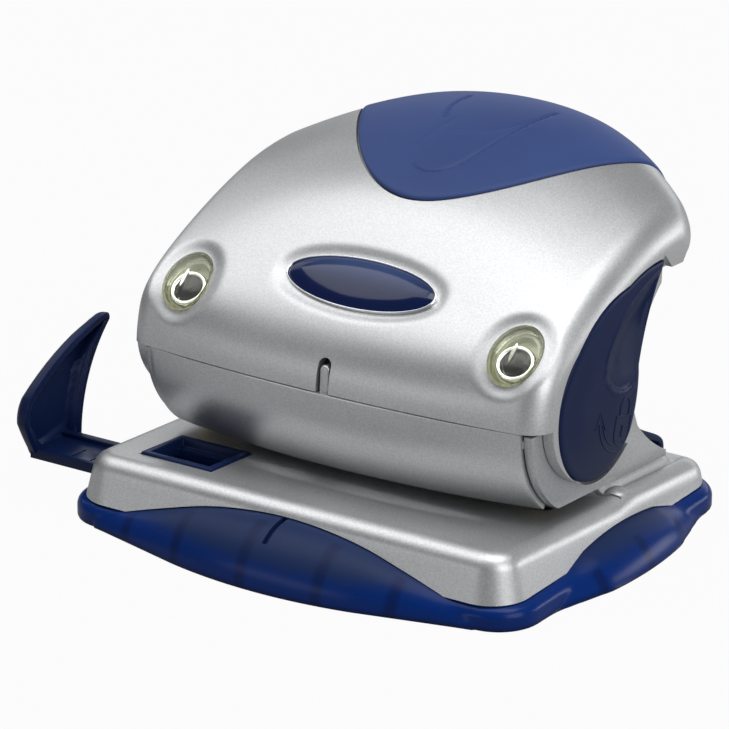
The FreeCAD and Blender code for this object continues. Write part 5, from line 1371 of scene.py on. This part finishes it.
def paper_guide():
    """The sliding arm with its size marks, and the fin on its outer end."""
    fin = guide_fin()
    arm = block("guide_arm", (-69.5, -35.2, -6.4), (28.0, -22.2, -3.4))
    mix_with(arm, block("arm_channel", (-72.0, -36.0, -4.3), (26.8, -24.4, -2.0)))
    mix_with(arm, block("arm_under", (-67.4, -33.9, -7.0), (26.8, -23.4, -5.6)))
    for k in range(12):
        x = -60.0 + k * 5.0
        mix_with(arm, block("arm_mark", (x, -33.6, -4.55), (x + 0.45, -30.6 if k % 2 else -28.5, -3.0)))
    soften(arm, 0.3, 2, 40)
    piece = join_pieces("guide_with_fin", [fin, on_deck(arm)])
    return settle(piece, ROW, "guide", NAVY, ["paper_guide"], 40)


# Springs, shield and cap
PIN_BACK, SPRING_TRAVEL = -4.4, 5.85


def pin_spring(word, side):
    """A coil round a pin, drawn at one length; in the punch the handle presses it short as it goes down."""
    foot, top = -15.0, 2.2
    turns, wire, mean = 6.5, 0.4, 3.65
    steps = int(turns * 28)
    rows = 10

    def shape(s, t):
        angle = s * turns * 2 * math.pi
        climb = foot + wire + (top - foot - 2 * wire) * s
        ring = t * 2 * math.pi
        r = mean + wire * np.cos(ring)
        return np.stack([PIN_X * side + r * np.cos(angle), PIN_BACK + r * np.sin(angle),
                         climb + wire * np.sin(ring)], 1)

    piece = sealed(weld(grid("pin_coil_" + word, steps, rows, shape)))
    settle(piece, HEAD, "base", SPRING, ["pin_spring_" + word], 50)
    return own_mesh(piece)


def rear_shield():
    """The navy shield behind the side plates, which stands a little above their tails."""
    outer = [(36.4, -19.9), (36.0, -17.8), (33.0, -15.6), (27.9, -13.5), (23.4, -10.4), (22.6, -7.0),
             (22.6, -2.8)]
    inner = [(21.4, -2.8), (21.4, -7.4), (22.4, -11.2), (27.2, -14.9), (32.4, -16.9), (34.9, -18.4),
             (35.2, -19.9)]
    edge = [tuple(q) for line in (outer, inner) for q in smooth_line(np.array(line), np.linspace(0, 1, 30))]
    piece = soften(slab("rear_shield", edge, -45.5, 45.5), 0.35, 2, 40)
    return settle(piece, HEAD, "base", NAVY, ["rear_cover"], 40)


def pivot_cap():
    """The round cap over the left pivot, with a ring pressed into it."""
    profile = [(0.02, 1.15), (2.0, 1.15), (2.3, 0.85), (2.9, 0.85), (3.2, 1.15), (6.6, 1.1),
               (7.5, 0.75), (8.0, 0.3), (8.0, 0.0), (0.02, 0.0)]
    turn = Matrix.Translation((-HALF, 0, 0)) @ Matrix.Rotation(math.radians(-90), 4, "Y")
    piece = turned("left_pivot_cap", profile, turn, 72)
    return settle(piece, HEAD, "handle", NAVY, ["pivot_cap_left"], 40)


# The photograph's camera, lamps and floor
IMAGE = 729
FOCAL_PIXELS = 4127.9
AZIMUTH, ELEVATION, DISTANCE = math.radians(33.6226), math.radians(20.7593), 0.85
TARGET = Vector((0, -0.011816, 0.03629))
WHITE = (1, 1, 1, 1)
AIR_LIGHT, GLOSSY_SHARE, CAMERA_SHARE = 0.16, 0.24, 0.96


def camera():
    """The camera fitted to the photograph."""
    level = math.cos(ELEVATION)
    back = Vector((math.sin(AZIMUTH) * level, -math.cos(AZIMUTH) * level, math.sin(ELEVATION)))
    data = bpy.data.cameras.new("photo_camera")
    data.sensor_width = 36.0
    data.lens = FOCAL_PIXELS / IMAGE * data.sensor_width
    data.clip_start = 0.01
    thing = bpy.data.objects.new("photo_camera", data)
    thing.location = TARGET + back * DISTANCE
    thing.rotation_euler = back.to_track_quat("Z", "Y").to_euler()
    bpy.context.scene.collection.objects.link(thing)
    bpy.context.scene.camera = thing


def lamp(name, place, aim, size, power, size_y=None):
    """A soft box at a place, turned towards its aim."""
    data = bpy.data.lights.new(name, "AREA")
    data.shape = "RECTANGLE"
    data.size = size
    data.size_y = size_y or size
    data.energy = power
    thing = bpy.data.objects.new(name, data)
    thing.location = place
    thing.rotation_euler = (Vector(place) - Vector(aim)).to_track_quat("Z", "Y").to_euler()
    bpy.context.scene.collection.objects.link(thing)


def studio():
    """The lamps, and white air that dims to a faint blue for all but the camera."""
    lamp("key_softbox", (-0.34, -0.10, 0.88), (0, 0, 0.04), 0.72, 3.3)
    lamp("left_softbox", (-0.85, 0.25, 0.50), (0, 0, 0.04), 0.50, 0.6)
    lamp("right_softbox", (0.85, -0.25, 0.40), (0, 0, 0.03), 0.60, 3.4)
    lamp("top_softbox", (0.24, 0.05, 0.88), (0, 0, 0.04), 0.50, 3.3)
    lamp("front_fill", (-0.85, -1.90, 0.35), (0, 0, 0.02), 1.2, 2.6, 0.4)
    lamp("rear_fill", (1.20, 1.50, 0.25), (0, 0, 0.02), 1.0, 5.0, 0.4)
    lamp("rear_strip", (-0.45, 1.85, 0.55), (0, 0, 0.04), 2.0, 4.6, 0.5)
    world = bpy.data.worlds.new("studio_air")
    bpy.context.scene.world = world
    world.use_nodes = True
    tree = world.node_tree
    air = tree.nodes["Background"]
    air.inputs[0].default_value = (0.90, 0.94, 1.0, 1)
    air.inputs[1].default_value = AIR_LIGHT
    path = add_node(tree, "ShaderNodeLightPath").outputs
    seen = add_node(tree, "ShaderNodeMath", {"operation": "MAXIMUM"},
                    {0: path["Is Camera Ray"], 1: path["Is Transmission Ray"]})
    white = add_node(tree, "ShaderNodeBackground", {}, {0: WHITE, 1: 1.0})
    mix = add_node(tree, "ShaderNodeMixShader", {}, {0: seen.outputs[0], 1: air.outputs[0],
                                                     2: white.outputs[0]})
    tree.links.new(mix.outputs[0], tree.nodes["World Output"].inputs["Surface"])
    bpy.context.scene.view_settings.view_transform = "Standard"


def floor():
    """White paper to the camera, grey to everything else."""
    deselect()
    bpy.ops.mesh.primitive_plane_add(size=6.0, location=(0, 0, -0.0001))
    piece = named("studio_floor")
    material = bpy.data.materials.new("studio_paper")
    material.use_nodes = True
    tree = material.node_tree
    plain = tree.nodes["Principled BSDF"]
    plain.inputs["Base Color"].default_value = (0.22, 0.22, 0.22, 1)
    plain.inputs["Roughness"].default_value = 0.9
    glow = add_node(tree, "ShaderNodeEmission", {}, {0: WHITE, 1: 1.0})
    path = add_node(tree, "ShaderNodeLightPath").outputs
    faint = add_node(tree, "ShaderNodeMath", {"operation": "MULTIPLY"},
                     {0: path["Is Glossy Ray"], 1: GLOSSY_SHARE})
    share = add_node(tree, "ShaderNodeMath", {"operation": "MULTIPLY_ADD"},
                     {0: path["Is Camera Ray"], 1: CAMERA_SHARE, 2: faint.outputs[0]})
    mix = add_node(tree, "ShaderNodeMixShader", {}, {0: share.outputs[0], 1: plain.outputs[0],
                                                     2: glow.outputs[0]})
    tree.links.new(mix.outputs[0], tree.nodes["Material Output"].inputs["Surface"])
    piece.data.materials.append(material)


THUMB_PLACE = HEAD @ Vector((HALF, *THUMB_SPOT))
# The level about which the badge's painted highlight grows lighter upwards
BADGE_HIGHLIGHT_LEVEL = (HEAD @ Vector((0, -22.0, PLATE_RISE))).z
# The level about which the lens wells' painted light turns to painted shade
WELL_LIGHT_LEVEL = (HEAD @ Vector((0, -20.0, LENS_RISE))).z
SILVER = silver_enamel()
FRAME = frame_enamel()
TOOL = brushed("ground_steel", (0.62, 0.63, 0.65), (0.40, 0.41, 0.43), 0.22, (1.0, 1.0, 0.2))
ZINC = brushed("zinc_plate", (0.70, 0.71, 0.72), (0.52, 0.53, 0.55), 0.30, (0.2, 1.0, 1.0))
SPRING = brushed("spring_wire", (0.50, 0.50, 0.52), (0.32, 0.32, 0.34), 0.26)
BRASS = brushed("turned_brass", (0.80, 0.62, 0.30), (0.60, 0.44, 0.20), 0.24)
# Near-black metal for the lens pin heads: a painted dark reflection, not the colour of their steel
PIN_HEAD_DARK_REFLECTION = brushed("pin_head_painted_dark_reflection", (0.040, 0.040, 0.043), (0.018, 0.018, 0.020), 0.08)
CHROME = bright_chrome()
NAVY = navy_moulding()
LEVER = lever_moulding()
GRIP = grip_rubber()
TRAY = tray_plastic()
BADGE = badge_enamel()
LENS = lens_plastic()
WELL = lens_well()
RUBBER = foot_rubber()

camera()
studio()
floor()

handle_cover()
grip_pad()
nameplate()
for word, side in (("left", -1), ("right", 1)):
    lens(word, side)
    pin_spring(word, side)
lock_lever()
lever_pictogram()
front_cover()
base_plate()
chip_tray()
paper_guide()
pivot_cap()
eased("punch_frame", "side_plates", 0.30, "base", FRAME)
rear_shield()
eased("guide_housing", "guide_bezel", 0.30, "base", NAVY)
eased("press_carriage", "press_plate", 0.20, "carriage", ZINC)
eased("rubber_feet", "soft_feet", 0.50, "base", RUBBER, 3)

KEPT = {
    "support_pillars": FRAME, "die_plate": TOOL, "guide_click_spring": SPRING, "tray_hinge_pins": ZINC,
    "frame_rivets": FRAME, "pin_guide_bushes": BRASS, "guide_posts": ZINC, "pivot_studs": FRAME,
    "punch_pin_left": TOOL, "punch_pin_right": TOOL, "pin_clips": TOOL, "press_bar": TOOL,
}
for node, finish in KEPT.items():
    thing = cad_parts[node]
    for place in thing.material_slots:
        place.material = finish
    if not thing.material_slots:
        thing.data.materials.append(finish)
